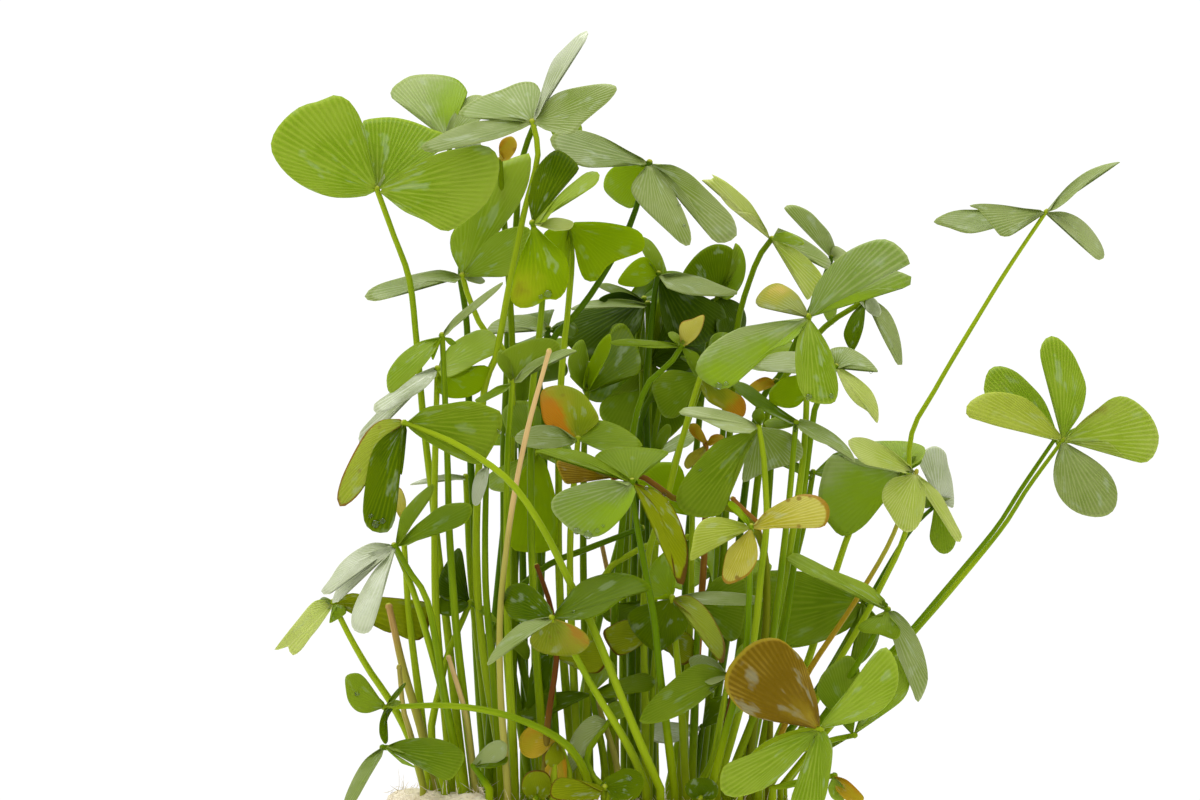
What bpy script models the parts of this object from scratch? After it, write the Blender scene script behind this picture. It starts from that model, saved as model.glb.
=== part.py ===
"""A water clover in its plug of mineral wool, modelled in metres with +Z up.

Each frond grew as one piece and is one closed mesh: a thin leaf stalk with four fan-shaped
leaflets on its tip. The origin is the middle of the flat bottom of the wool.
The places below are in millimetres: x to the right, y away from the viewer, and h, the height
above a level just under the top of the wool.
"""

import math

import bmesh
import bpy
from mathutils import Vector

MM = 0.001

WOOL_HEIGHT = 40.0
WOOL_TOP_RADIUS = 22.0
WOOL_BOTTOM_RADIUS = 19.0
WOOL_EDGE_ROUND = 2.0
WOOL_EDGE_STEPS = 3
WOOL_CHAMFER = 0.8
WOOL_SIDES = 28
LEVEL = WOOL_HEIGHT - 1.0
FOOT_GAP = 0.35

STALK_SIDES = 6
STALK_FOOT_RADIUS = 0.46
STALK_TIP_RADIUS = 0.30
STALK_STEP = 15.0
CURVE_STEPS = 12
HUB_LENGTH = 0.9
DEPTH_EASE = 1.25

LEAF_THICKNESS = 0.42
FAN_SHOULDER = 0.55
FAN_ROUNDNESS = 2.5
FAN_SPREAD = math.radians(43.0)
DEFAULT_CUP = 0.4
DEFAULT_BOW = 0.5
RIM = [(-1.0, 0.62), (-0.93, 1.0), (-0.6, 1.0), (0.0, 1.0), (0.6, 1.0), (0.93, 1.0), (1.0, 0.62)]
MIDDLES = (0.36, 0.72)

GREEN = (0.16, 0.30, 0.04)
YELLOW = (0.46, 0.42, 0.08)
BROWN = (0.30, 0.15, 0.03)
DRY = (0.55, 0.33, 0.12)
CREAM = (0.72, 0.60, 0.38)

# One row a frond: name, foot (x, y), hub (x, y, h), points along its stalk (x, h), and four
# leaflets (dx, dy, dz to the leaflet's tip, width, roll in degrees, and, where they differ
# from the usual ones, cup and bow). Roll 0 shows the blade to the front, 90 shows its edge.
FRONDS = [
    ("crown_left", (-13.5, -7.0), (-22.2, -9, 60.9),
     [(-15.6, 20), (-17.6, 38), (-18.3, 46), (-19.0, 52), (-20.6, 56.5)],
     [(-8.3, -2, 7.3, 10.0, 8), (3.7, 5, 7.2, 7.0, 0), (11.0, -3, 0.5, 8.0, 12), (1.5, 9, 1.0, 7.0, 40)]),
    ("crown_left_back", (-11.5, 6.0), (-15.3, 7, 66.0),
     [(-12.6, 20), (-13.3, 46), (-14.0, 52), (-13.7, 57.5), (-14.4, 62)],
     [(-1.9, 5, 6.4, 7.0, 0), (4.8, 2, 4.2, 4.0, 35), (-5.0, 3, -3.0, 4.4, 40), (3.6, 6, -2.4, 4.6, 40)]),
    ("crown_top", (-9.5, -9.5), (-6.7, -10, 67.6),
     [(-12.2, 20), (-11.7, 39.5), (-10.3, 44.5), (-9.0, 51.5), (-7.6, 58.5), (-6.2, 64.3)],
     [(-11.1, -3, -2.3, 5.5, 52), (-7.1, 4, 1.4, 5.0, 60), (5.4, 2, 9.3, 5.5, 72),
      (8.4, -3, 3.6, 5.4, 35)]),
    ("crown_top_back", (-7.0, 2.5), (-6.0, 3, 69.0),
     [(-9.5, 20), (-9.3, 45), (-8.4, 57), (-7.8, 64)],
     [(-5.6, 2, 1.8, 4.0, 25), (4.4, 5, 1.4, 4.0, 45), (0.5, 7, 1.5, 5.0, 50), (3.8, 1, -3.0, 3.0, 0)]),
    ("crown_right", (-5.0, -2.5), (4.9, -4, 63.6),
     [(-8.6, 20), (-6.6, 38), (-5.0, 45.5), (-2.5, 48.5), (0.0, 52), (3.0, 57.5)],
     [(-9.7, 3, 2.4, 5.0, 42), (-4.5, 6, -2.1, 6.4, 10), (3.9, -4, -8.2, 5.6, 5),
      (8.6, -1, -7.3, 5.4, 20)]),
    ("right_shoulder", (10.0, 4.0), (17.1, 2, 56.0),
     [(12.0, 20), (13.2, 40), (13.8, 47.5), (15.0, 52), (16.0, 54.5)],
     [(-6.6, 0, 6.2, 4.2, 15), (5.7, 1, -2.5, 4.0, 50), (3.7, -3, -5.7, 3.8, 10),
      (-1.5, 8, -1.5, 5.0, 50)]),
    ("inner_left", (-5.5, -12.5), (-6.7, -14, 57.5),
     [(-6.6, 20), (-6.9, 38), (-5.9, 48), (-5.6, 53)],
     [(2.7, 4, 7.0, 5.0, 0), (6.7, 0, 5.0, 4.0, 45), (0.8, -3, -8.0, 6.4, 0, 0.9),
      (3.0, 4, 0.4, 4.0, 65)]),
    ("left_high", (-8.5, -4.0), (-13.7, -5, 52.3),
     [(-9.4, 20), (-8.8, 42), (-11.8, 47.2), (-13.3, 50.8)],
     [(6.2, 3, 11.6, 5.0, 10), (5.5, -2, 4.2, 4.6, 5), (-9.8, 1, -2.0, 4.6, 66), (2.0, 6, -0.6, 5.0, 60)]),
    ("centre_lime", (-2.5, -6.5), (-3.0, -7, 57.4),
     [(-4.0, 20), (-4.0, 40), (-3.2, 49), (-2.8, 54)],
     [(7.3, -2, -2.0, 5.6, 5), (-4.0, 3, -4.0, 5.0, 10), (-1.0, 7, 2.5, 5.0, 30), (1.0, 4, -5.5, 4.0, 5)]),
    ("inner_dark", (5.0, 4.0), (5.8, 4, 52.5),
     [(5.0, 20), (4.6, 40), (4.9, 45), (5.4, 50)],
     [(-2.2, 2, 4.3, 3.0, 40), (-4.2, -1, 0.3, 3.4, 20), (8.2, -3, -2.5, 5.0, 62),
      (6.0, 5, -4.0, 4.6, 20)]),
    ("inner_dark_left", (2.5, 10.0), (4.4, 10, 50.0),
     [(2.4, 20), (3.4, 42)],
     [(-5.2, -2, 2.6, 3.6, 35), (-8.0, 2, 0.2, 4.4, 40), (-3.2, 5, -5.2, 6.2, 5),
      (4.0, 4, -4.0, 4.4, 20)]),
    ("back_pair", (8.5, 10.5), (11.8, 10, 50.4),
     [(8.5, 20), (10.4, 42)],
     [(-3.4, -1, 3.4, 5.0, 15), (2.2, 1, 4.8, 4.0, 5), (4.5, 4, -3.0, 4.6, 30), (-1.0, 6, -2.4, 4.6, 40)]),
    ("yellow_tip", (1.0, -4.0), (8.1, -8, 45.3),
     [(1.6, 20), (3.2, 36), (4.8, 41.6), (6.8, 43.4)],
     [(2.2, 0, 3.2, 2.4, 20), (-7.1, -2, 0.4, 3.2, 76), (2.6, 2, -3.0, 3.0, 10), (-0.5, 5, 0.6, 3.6, 60)]),
    ("folded", (-1.0, 1.0), (-1.3, 0, 40.7),
     [(-1.6, 20), (-1.6, 34)],
     [(2.5, -2, 6.0, 3.0, 50, 1.2), (-1.6, 0.6, 5.2, 2.8, 40, 1.2), (4.6, 3.6, 6.0, 3.2, 45),
      (-3.6, -1, 0.6, 3.4, 45)]),
    ("right_back", (10.4, 9.8), (23.2, 7, 54.2),
     [(13.2, 20), (15.6, 38), (18.3, 43), (20.6, 48), (22.2, 51.5)],
     [(-4.5, -1, 5.2, 3.6, 30), (2.0, 0.5, 1.4, 2.6, 30), (3.0, 6, -0.8, 4.4, 40),
      (0.2, 5, -4.2, 4.0, 20)]),
    ("right_hanging", (12.2, 7.4), (26.6, 4, 50.0),
     [(14.6, 20), (16.6, 38), (19.4, 43.5), (22.6, 47.4)],
     [(-1.8, -2.5, -5.2, 3.4, 30), (1.0, -4, 0.6, 2.6, 30), (3.3, -1, -6.6, 3.8, 40),
      (1.5, 6, 0.5, 4.4, 60)]),
    ("right_front_large", (14.0, -7.0), (20.8, -12, 48.2),
     [(18.0, 20), (20.0, 32), (20.6, 40), (20.4, 45)],
     [(9.6, -2, 6.4, 6.4, 12), (-11.0, -4, -5.5, 6.0, 15), (0.8, -4, -8.5, 4.6, 0),
      (-5.0, 4, 2.2, 4.0, 20)]),
    ("right_mid", (15.5, -4.0), (23.5, -5, 43.2),
     [(18.8, 20), (21.2, 37.5), (21.8, 40)],
     [(-8.0, 3, 0.0, 3.6, 55), (4.3, 0, -0.2, 3.0, 60), (4.2, -3, -5.2, 3.4, 25),
      (-4.8, 1, -3.4, 3.8, 0)]),
    ("middle_right", (11.6, -11.6), (15.8, -16, 37.3),
     [(14.6, 12), (16.2, 24), (16.6, 28), (16.3, 34)],
     [(-8.0, -2, 1.4, 5.0, 66), (-6.0, -1, -8.5, 5.4, 0), (2.6, 5.6, -5.0, 5.0, 0, 0.2, -0.3),
      (1.6, -3.6, 1.0, 3.0, 60)]),
    ("middle_right_wet", (12.6, -9.4), (19.5, -14, 37.6),
     [(16.4, 12), (18.6, 28)],
     [(-6.7, 2, 4.0, 4.0, 55), (5.7, -3, -3.4, 4.6, 58), (-2.0, 5, -0.4, 3.4, 60),
      (-0.4, -3.6, 0.6, 2.6, 60)]),
    ("right_big", (15.6, 1.6), (30.5, 3, 33.2),
     [(20.2, 12), (24.0, 24), (25.6, 28), (28.2, 31)],
     [(-8.3, -1, -5.2, 7.2, 0), (-2.6, 4, 2.6, 4.4, 20), (3.4, 1, 2.6, 3.6, 20), (0.4, 3, -4.6, 3.4, 20)]),
    ("right_light", (16.0, -7.0), (31.5, -8, 32.7),
     [(19.0, 9), (21.2, 13.5), (25.5, 20), (28.5, 25), (30.2, 29)],
     [(-6.3, -1, 2.8, 3.6, 45), (-1.0, -3, -5.8, 4.4, 0), (4.6, -1, -6.6, 3.4, 30),
      (-1.5, 4, 2.6, 5.0, 20)]),
    ("right_outer", (15.0, 5.5), (33.8, 8.5, 30.8),
     [(21.4, 12), (26.6, 21), (31.0, 28)],
     [(-0.8, -1, 4.5, 3.4, 30), (0.4, 1, -5.6, 3.0, 20), (2.4, -1, -1.8, 2.8, 50),
      (-1.0, 5, -0.4, 4.4, 50)]),
    ("far_right_tall", (17.0, -1.5), (44.5, -2, 58.7),
     [(22.0, 12), (27.0, 21), (30.5, 28), (31.0, 36), (33.5, 41), (38.5, 49.5), (41.0, 53.5)],
     [(7.3, 1, 5.1, 4.6, 82), (5.3, -2, -4.7, 3.4, 55), (-7.7, -3, 0.7, 5.4, 48),
      (-11.1, 3, -0.9, 4.6, 60)]),
    ("far_right_low", (18.0, -6.0), (46.1, -8, 35.9),
     [(26.0, 11), (31.5, 17), (35.0, 21), (40.0, 27), (42.7, 31.3)],
     [(-9.4, -2, 2.9, 4.8, 20), (-1.5, 1, 10.5, 4.2, 15), (9.4, -1, 1.4, 6.2, 5),
      (4.0, -3, -7.2, 5.6, 5)]),
    ("far_right_twin", (18.4, -3.0), (45.4, -2, 36.0),
     [(25.6, 11), (30.6, 16.5), (34.4, 21), (39.4, 27), (42.0, 31)],
     [(-6.4, 1, 6.6, 4.8, 10), (-7.0, 2, 1.5, 4.0, 30), (5.4, 3, 1.2, 4.6, 20), (2.6, 2, -4.6, 4.6, 10)]),
    ("left_front_arch", (6.0, -18.0), (-19.3, -24, 37.7),
     [(4.0, 6), (-1.0, 18), (-3.0, 22), (-5.5, 27), (-9.0, 32), (-14.0, 35.5)],
     [(9.0, -1, -0.8, 6.0, 10), (-2.4, -2, -11.0, 3.6, 20), (-6.5, 1, -8.2, 3.4, 35),
      (-0.8, 5, -7.0, 4.4, 20)]),
    ("left_upper", (-12.5, -12.0), (-15.7, -16, 46.3),
     [(-14.6, 20), (-15.2, 35), (-15.5, 42)],
     [(-5.7, -1, -5.3, 3.8, 40), (5.8, -2, -0.8, 5.2, 20), (6.2, 2, 5.4, 3.8, 78),
      (2.4, 4, -5.6, 5.0, 10, 0.2, 0.0)]),
    ("left_glossy", (-14.8, -9.4), (-16.2, -12, 43.0),
     [(-16.4, 20), (-16.4, 34)],
     [(-6.8, -3, -4.2, 4.0, 45), (-7.0, 3, -7.6, 3.2, 50), (4.2, 3, 2.0, 4.0, 40),
      (3.4, 2, -3.6, 4.4, 10)]),
    ("inner_mid", (-8.5, -15.0), (-8.7, -16, 41.7),
     [(-9.2, 20), (-9.2, 34)],
     [(-2.2, 0, 2.5, 2.8, 20), (3.4, 0.4, 5.2, 3.0, 15), (5.5, -3.2, 2.2, 3.0, 60, 0.4, 1.0),
      (-0.8, -1, -3.0, 2.2, 20)]),
    ("inner_arch", (-4.5, 3.0), (-5.2, 1, 47.0),
     [(-6.0, 20), (-6.2, 40)],
     [(-6.5, -1, 0.8, 4.4, 70), (4.4, 5, -0.6, 4.4, 45), (-2.0, 6, 1.6, 4.2, 45),
      (-0.4, 4, -5.2, 4.4, 10)]),
    ("centre_small", (-2.0, -9.0), (-2.2, -12, 36.0),
     [(-2.6, 12), (-3.0, 25)],
     [(-5.8, -4, 0.4, 3.0, 32), (6.0, -2, 0.2, 3.8, 45), (-2.4, 3, 4.8, 5.0, 10),
      (1.6, -2.4, -4.2, 4.2, 10)]),
    ("big_left_leaf", (-6.0, -6.5), (-6.2, -8, 34.8),
     [(-6.4, 12), (-6.6, 26)],
     [(-1.4, -2, -9.8, 5.4, 0), (-3.8, 3, -2.6, 3.6, 30), (6.6, -1, -2.2, 3.6, 20),
      (-0.6, 3, 3.2, 3.2, 30)]),
    ("centre_front", (7.4, -15.5), (3.2, -20, 31.8),
     [(6.0, 12), (5.4, 18), (4.5, 23), (3.3, 30)],
     [(-7.0, -3, -3.6, 5.4, 10), (-9.7, 1, 3.2, 3.6, 74), (0.8, 4, 3.4, 5.6, 20),
      (5.3, -1, -8.6, 3.4, 30)]),
    ("inner_right", (5.5, -1.0), (10.4, -2, 42.4),
     [(5.5, 24), (7.0, 32), (9.0, 38.5)],
     [(-4.5, 1, -2.4, 4.4, 20), (4.0, 3, 3.4, 5.0, 20), (5.4, 1, -3.4, 4.4, 20), (-0.8, 5, 1.0, 4.4, 60)]),
    ("left_low", (-13.4, -13.6), (-20.3, -18, 25.4),
     [(-14.8, 7), (-16.3, 16), (-17.4, 20.5), (-19.0, 23)],
     [(-6.4, 2, -5.2, 3.6, 40), (3.7, 3, 5.9, 3.6, 35), (6.9, 0, 3.8, 3.6, 35),
      (-4.3, -5, -8.0, 3.6, 35)]),
    ("far_left_low", (-17.5, -6.5), (-26.6, -8, 19.7),
     [(-19.0, 6.2), (-21.0, 10), (-23.0, 13), (-25.0, 16.5)],
     [(-5.4, -2, -4.6, 4.0, 30), (-3.6, 3, -4.9, 4.0, 35), (9.2, 2, -1.8, 5.4, 10),
      (1.6, 6, -0.6, 4.0, 50)]),
    ("left_stray", (-1.0, -17.0), (-21.3, -20, 9.5),
     [(-2.0, 4), (-4.2, 6.4), (-9.0, 8.6), (-15.0, 9.6)],
     [(-3.9, -1, 1.6, 3.6, 10), (1.8, 1, 2.3, 1.8, 50), (-0.7, -1, -3.7, 1.8, 45),
      (0.8, 3, 0.6, 3.0, 60)]),
    ("left_base", (-15.8, -10.2), (-21.5, -13, 5.4),
     [(-15.9, 2.6), (-17.6, 4.6), (-20.0, 5.4)],
     [(8.0, -5, -1.4, 4.4, 25), (-3.8, -2, -5.4, 3.0, 55), (1.6, 4, 1.6, 4.0, 45),
      (-3.4, 4, -0.4, 4.0, 50)]),
    ("centre_low", (4.6, -16.4), (-4.7, -24, 18.3),
     [(3.6, 4), (2.0, 7), (-1.0, 12), (-3.4, 16.4)],
     [(8.7, 1, 3.9, 4.2, 40), (-6.5, -2, -4.3, 3.4, 70), (-4.4, 5, 1.2, 4.6, 10),
      (-1.0, 4, -3.4, 4.6, 15)]),
    ("low_dark", (0.5, -8.5), (-0.8, -12, 10.7),
     [(0.4, 4)],
     [(-7.0, 3, -2.2, 3.8, 40), (5.0, 0, 2.0, 4.0, 50), (2.4, 5, -0.6, 4.0, 40), (0.6, 3, 4.0, 3.6, 20)]),
    ("curled_yellow", (8.6, -9.0), (7.2, -15, 20.2),
     [(8.2, 8), (7.6, 15)],
     [(5.0, -2, -6.4, 3.4, 40, 0.6, 1.6), (9.2, 5, -0.6, 3.4, 60), (-4.5, 3, 1.2, 3.8, 40),
      (-3.6, 3, -3.6, 4.2, 10)]),
    ("low_green", (9.6, -13.2), (12.8, -17, 12.6),
     [(11.2, 4), (12.0, 8.6)],
     [(-8.4, -2, -4.2, 5.6, 15), (4.0, 1, 2.4, 4.0, 30), (-3.6, 4, 2.4, 4.4, 30),
      (1.4, 3.4, -3.4, 3.0, 20)]),
    ("yellow_frond", (11.0, -15.6), (15.0, -22, 27.3),
     [(12.5, 7), (14.4, 14.4), (14.8, 20)],
     [(-5.8, -2, -1.8, 3.8, 20), (7.6, -2, 1.5, 3.8, 20), (-1.2, -2, -5.6, 3.8, 5),
      (-1.6, 4, 2.4, 2.4, 30)]),
    ("brown_fan", (13.8, -13.3), (21.8, -21, 7.3),
     [(13.9, 2.6), (16.0, 5.4), (19.4, 7.0)],
     [(-7.0, -1, 7.0, 8.4, 0), (7.3, -1, 7.0, 4.4, 15), (-9.0, -2, -6.0, 4.8, 15),
      (-0.8, -2, -7.5, 4.0, 15)]),
    ("right_low", (15.8, -11.2), (25.2, -13, 6.6),
     [(16.0, 2.4), (18.8, 4.6), (22.6, 6.0)],
     [(5.2, 1, 6.0, 4.4, 10), (-2.4, 2, 4.8, 4.0, 20), (-1.4, 5, -2.0, 4.0, 30), (5.0, 3, -1.0, 4.0, 60)]),
    ("right_edge", (16.0, -8.6), (28.6, -12, 19.0),
     [(22.0, 8), (26.2, 14.6)],
     [(3.5, -1, -8.6, 3.8, 30), (-8.2, 2, 5.0, 4.4, 40), (-3.2, -2, -2.6, 3.8, 50),
      (1.4, 3, 2.4, 3.8, 50)]),
    ("right_low_fan", (13.4, 4.6), (26.4, 2, 19.8),
     [(14.4, 3), (19.5, 7.5), (24.4, 15)],
     [(-9.4, -1, -1.2, 7.4, 0), (-3.6, -2, -7.0, 4.4, 20), (3.4, 3, -3.4, 4.4, 40),
      (2.4, 1.5, 2.6, 3.4, 30)]),
    ("behind_left", (-7.0, 13.5), (-6.6, 18, 45.5),
     [(-6.0, 20), (-5.6, 36)],
     [(-6.0, 3, 0.6, 6.4, 60), (6.0, 2, 1.6, 6.4, 60), (1.0, 7, 1.0, 6.4, 70), (-0.6, -5, 3.4, 5.4, 45)]),
    ("behind_middle", (2.5, 16.0), (3.6, 25, 50.0),
     [(3.0, 20), (3.6, 38)],
     [(-6.4, 1, 2.4, 6.6, 45), (6.6, 1, 1.2, 6.6, 55), (0.0, 8, -1.0, 6.6, 70), (0.4, -6, 2.0, 5.6, 60)]),
    ("behind_right", (10.5, 15.0), (13.0, 21, 43.6),
     [(11.6, 20), (12.2, 34)],
     [(-6.4, 1, 0.6, 6.0, 50), (6.2, 2, 2.4, 6.0, 50), (1.0, 7, 0.0, 6.4, 70), (-0.4, -5, -2.0, 5.4, 60)]),
    ("behind_low_left", (-12.0, 11.5), (-9.0, 19, 35.4),
     [(-11.0, 14), (-9.6, 28)],
     [(-5.6, 2, 1.4, 6.0, 50), (6.2, 2, -0.6, 6.0, 50), (-0.6, 7, 0.4, 6.0, 70), (0.6, -6, 1.0, 5.0, 65)]),
    ("behind_low_right", (14.5, 10.5), (21.4, 17, 32.6),
     [(17.6, 16), (20.4, 27)],
     [(-6.4, 2, 0.4, 6.0, 55), (5.4, 3, -0.8, 6.0, 50), (0.8, 7, 0.6, 6.0, 70), (0.0, -5, 2.4, 5.0, 60)]),
    ("behind_far", (-3.0, 17.5), (4.6, 30, 34.0),
     [(-1.0, 14), (2.0, 26)],
     [(-6.4, 1, 0.8, 6.4, 55), (6.4, 1, 0.4, 6.4, 55), (0.6, 7, -1.6, 6.4, 75), (-0.8, -6, 2.2, 5.4, 60)]),
    ("behind_bottom", (7.0, 17.5), (11.4, 28, 22.4),
     [(8.4, 8), (10.0, 16)],
     [(-6.0, 1, -0.8, 6.0, 55), (6.0, 2, 0.6, 6.0, 55), (0.8, 7, -2.4, 6.0, 75), (0.4, -6, 1.8, 5.0, 60)]),
]

# Stalks that lost their leaflets: name, foot (x, y), tip (x, y, h), and points along them (x, h).
BARE_STALKS = [
    ("bare_stalk_tall", (-9.2, -16.8), (-5.1, -21.5, 44.7),
     [(-9.9, 12), (-9.8, 21), (-8.6, 30), (-7.2, 37)]),
    ("bare_stalk_left", (-16.6, -7.8), (-21.0, -10, 19.3),
     [(-17.6, 6.5), (-19.5, 13)]),
    ("bare_stalk_brown", (-5.6, -17.0), (-6.2, -17, 23.3),
     [(-5.2, 8), (-4.3, 14.6), (-4.9, 19.4)]),
]


def clear_scene():
    for item in list(bpy.data.objects):
        bpy.data.objects.remove(item, do_unlink=True)


def make_material(name, colour, roughness):
    material = bpy.data.materials.new(name)
    material.use_nodes = True
    shader = material.node_tree.nodes["Principled BSDF"]
    shader.inputs["Base Color"].default_value = (*colour, 1.0)
    shader.inputs["Roughness"].default_value = roughness
    shader.inputs["Metallic"].default_value = 0.0
    return material


def add_mesh(name, points, faces, material):
    """A closed mesh object from points in millimetres, with its faces turned outwards."""
    mesh = bpy.data.meshes.new(name)
    mesh.from_pydata([point * MM for point in points], [], faces)
    shape = bmesh.new()
    shape.from_mesh(mesh)
    bmesh.ops.triangulate(shape, faces=shape.faces)
    bmesh.ops.recalc_face_normals(shape, faces=shape.faces)
    shape.to_mesh(mesh)
    shape.free()
    mesh.materials.append(material)
    thing = bpy.data.objects.new(name, mesh)
    bpy.context.collection.objects.link(thing)
    return thing


def smooth_route(knots, count):
    """Evenly spaced points on a smooth curve through the knots."""
    ends = [knots[0] * 2 - knots[1]] + knots + [knots[-1] * 2 - knots[-2]]
    fine = []
    for index in range(1, len(ends) - 2):
        before, start, end, after = ends[index - 1:index + 3]
        for step in range(CURVE_STEPS):
            t = step / CURVE_STEPS
            fine.append(0.5 * (start * 2 + (end - before) * t
                               + (before * 2 - start * 5 + end * 4 - after) * t * t
                               + (start * 3 - before - end * 3 + after) * t ** 3))
    fine.append(knots[-1])
    reach = [0.0]
    for first, second in zip(fine, fine[1:]):
        reach.append(reach[-1] + (second - first).length)
    route = []
    place = 0
    for step in range(count + 1):
        target = reach[-1] * step / count
        while place < len(fine) - 2 and reach[place + 1] < target:
            place += 1
        part = (target - reach[place]) / (reach[place + 1] - reach[place])
        route.append(fine[place].lerp(fine[place + 1], min(part, 1.0)))
    return route


def stalk_knots(foot, tip, bends):
    """The stalk's own points: its depth changes evenly from the foot to the tip."""
    low = WOOL_HEIGHT + FOOT_GAP
    top = LEVEL + tip[2]
    knots = [Vector((foot[0], foot[1], low))]
    for x, height in bends:
        part = ((LEVEL + height - low) / (top - low)) ** DEPTH_EASE
        knots.append(Vector((x, foot[1] + (tip[1] - foot[1]) * part, LEVEL + height)))
    knots.append(Vector((tip[0], tip[1], top)))
    return knots


def ring_axes(along, guide):
    first = (guide - along * guide.dot(along)).normalized()
    return first, along.cross(first)


def leaf_axes(tip, roll):
    """Directions of a leaflet: along it, across it, and out of its upper side."""
    along = tip.normalized()
    across = along.cross(Vector((0.0, 1.0, 0.0))).normalized()
    facing = along.cross(across)
    rising = across if (across.z if abs(across.z) > 0.2 else across.x) > 0 else -across
    turn = math.radians(roll)
    upper = facing * math.cos(turn) + rising * math.sin(turn)
    return along, upper.cross(along), upper


def leaf_point(leaf, s, t):
    """A point of the blade: s runs from edge to edge, t from the hub out to the margin."""
    tip = Vector(leaf[:3])
    width = leaf[3]
    cup = leaf[5] if len(leaf) > 5 else DEFAULT_CUP
    bow = leaf[6] if len(leaf) > 6 else DEFAULT_BOW
    along, across, upper = leaf_axes(tip, leaf[4])
    length = tip.length
    reach = FAN_SHOULDER + (1.0 - FAN_SHOULDER) * math.sqrt(max(0.0, 1.0 - abs(s) ** FAN_ROUNDNESS))
    angle = s * FAN_SPREAD * width / length
    forward = t * reach * length * math.cos(angle)
    sideways = t * reach * length * math.sin(angle)
    part = forward / length
    lift = cup * (2.0 * sideways / width) ** 2 + bow * 4.0 * part * (1.0 - part)
    return along * forward + across * sideways + upper * lift


def add_leaflet(points, faces, hub, leaf, low_right, low_left, top_right, top_left, sideways):
    """A thin lens-shaped blade grown from one open side of the hub."""
    across, upper = leaf_axes(Vector(leaf[:3]), leaf[4])[1:]
    flip = 1.0 if across.dot(sideways) > 0 else -1.0
    start = len(points)
    for s, t in RIM:
        points.append(hub + leaf_point(leaf, s * flip, t))
    for side in (1.0, -1.0):
        for t in MIDDLES:
            middle = leaf_point(leaf, 0.0, t)
            points.append(hub + middle + upper * (side * flip * LEAF_THICKNESS / 2))
    left_1, left_2, left_3, tip, right_3, right_2, right_1 = range(start, start + 7)
    for base_left, base_right, near, far in ((top_left, top_right, start + 7, start + 8),
                                             (low_left, low_right, start + 9, start + 10)):
        faces += [(base_left, left_1, near), (base_left, near, base_right), (base_right, near, right_1),
                  (left_1, left_2, near), (left_2, far, near), (near, far, right_2),
                  (near, right_2, right_1), (left_2, left_3, far), (left_3, tip, far),
                  (tip, right_3, far), (right_3, right_2, far)]
    faces += [(top_left, low_left, left_1), (top_right, right_1, low_right)]


def quad_choice(bearings):
    """The turn of the hub, and the side of it that each leaflet grows from."""
    sides = [0, 1, 3, 4]
    quarter = 2 * math.pi / STALK_SIDES
    order = sorted(range(4), key=lambda index: bearings[index])
    best = None
    for shift in range(4):
        chosen = {leaf: sides[(rank + shift) % 4] for rank, leaf in enumerate(order)}
        offsets = [bearings[leaf] - (side + 0.5) * quarter for leaf, side in chosen.items()]
        turn = math.atan2(sum(math.sin(a) for a in offsets), sum(math.cos(a) for a in offsets))
        error = sum(1.0 - math.cos(a - turn) for a in offsets)
        if best is None or error < best[0]:
            best = (error, turn, chosen)
    return best[1], best[2]


def ring_face(ring, side):
    """The four corners of one face between a ring of the stalk and the next."""
    beside = (side + 1) % STALK_SIDES
    return ring + side, ring + beside, ring + STALK_SIDES + beside, ring + STALK_SIDES + side


def make_tube(route, turn, radii):
    """Rings of points round the route."""
    points = []
    guide = Vector((1.0, 0.0, 0.0))
    for index, middle in enumerate(route):
        before = route[max(index - 1, 0)]
        after = route[min(index + 1, len(route) - 1)]
        first, second = ring_axes((after - before).normalized(), guide)
        guide = first
        for side in range(STALK_SIDES):
            angle = turn + 2 * math.pi * side / STALK_SIDES
            points.append(middle + (first * math.cos(angle) + second * math.sin(angle)) * radii[index])
    return points


def tube_radii(count):
    return [STALK_FOOT_RADIUS + (STALK_TIP_RADIUS - STALK_FOOT_RADIUS) * index / count
            for index in range(count + 1)]


def make_frond(name, foot, tip, bends, leaves, material):
    knots = stalk_knots(foot, tip, bends)
    hub = knots[-1]
    length = sum((b - a).length for a, b in zip(knots, knots[1:]))
    count = max(4, round(length / STALK_STEP) + 1)
    route = smooth_route(knots, count)
    along = (route[-1] - route[-2]).normalized()
    route.insert(-1, hub - along * HUB_LENGTH)
    radii = tube_radii(len(route) - 1)
    plain = make_tube(route, 0.0, radii)
    first = (plain[-STALK_SIDES] - hub).normalized()
    second = along.cross(first)
    tips = [Vector(leaf[:3]) for leaf in leaves]
    bearings = [math.atan2(leaflet.dot(second), leaflet.dot(first)) for leaflet in tips]
    turn, chosen = quad_choice(bearings)
    points = make_tube(route, turn, radii)
    faces = [tuple(range(STALK_SIDES)), tuple(range(len(points) - STALK_SIDES, len(points)))]
    last_ring = len(points) - 2 * STALK_SIDES
    for ring in range(0, last_ring + 1, STALK_SIDES):
        for side in range(STALK_SIDES):
            if ring == last_ring and side in chosen.values():
                continue
            faces.append(ring_face(ring, side))
    for index, side in chosen.items():
        beside = (side + 1) % STALK_SIDES
        low_left, low_right = last_ring + side, last_ring + beside
        top_left, top_right = low_left + STALK_SIDES, low_right + STALK_SIDES
        sideways = points[low_right] - points[low_left]
        add_leaflet(points, faces, hub, leaves[index], low_right, low_left, top_right, top_left, sideways)
    return add_mesh(name, points, faces, material)


def make_bare_stalk(name, foot, tip, bends, material):
    knots = stalk_knots(foot, tip, bends)
    length = sum((b - a).length for a, b in zip(knots, knots[1:]))
    count = max(3, round(length / STALK_STEP) + 2)
    points = make_tube(smooth_route(knots, count), 0.0, tube_radii(count))
    faces = [tuple(range(STALK_SIDES)), tuple(range(len(points) - STALK_SIDES, len(points)))]
    for ring in range(0, len(points) - STALK_SIDES, STALK_SIDES):
        for side in range(STALK_SIDES):
            faces.append(ring_face(ring, side))
    return add_mesh(name, points, faces, material)


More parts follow.
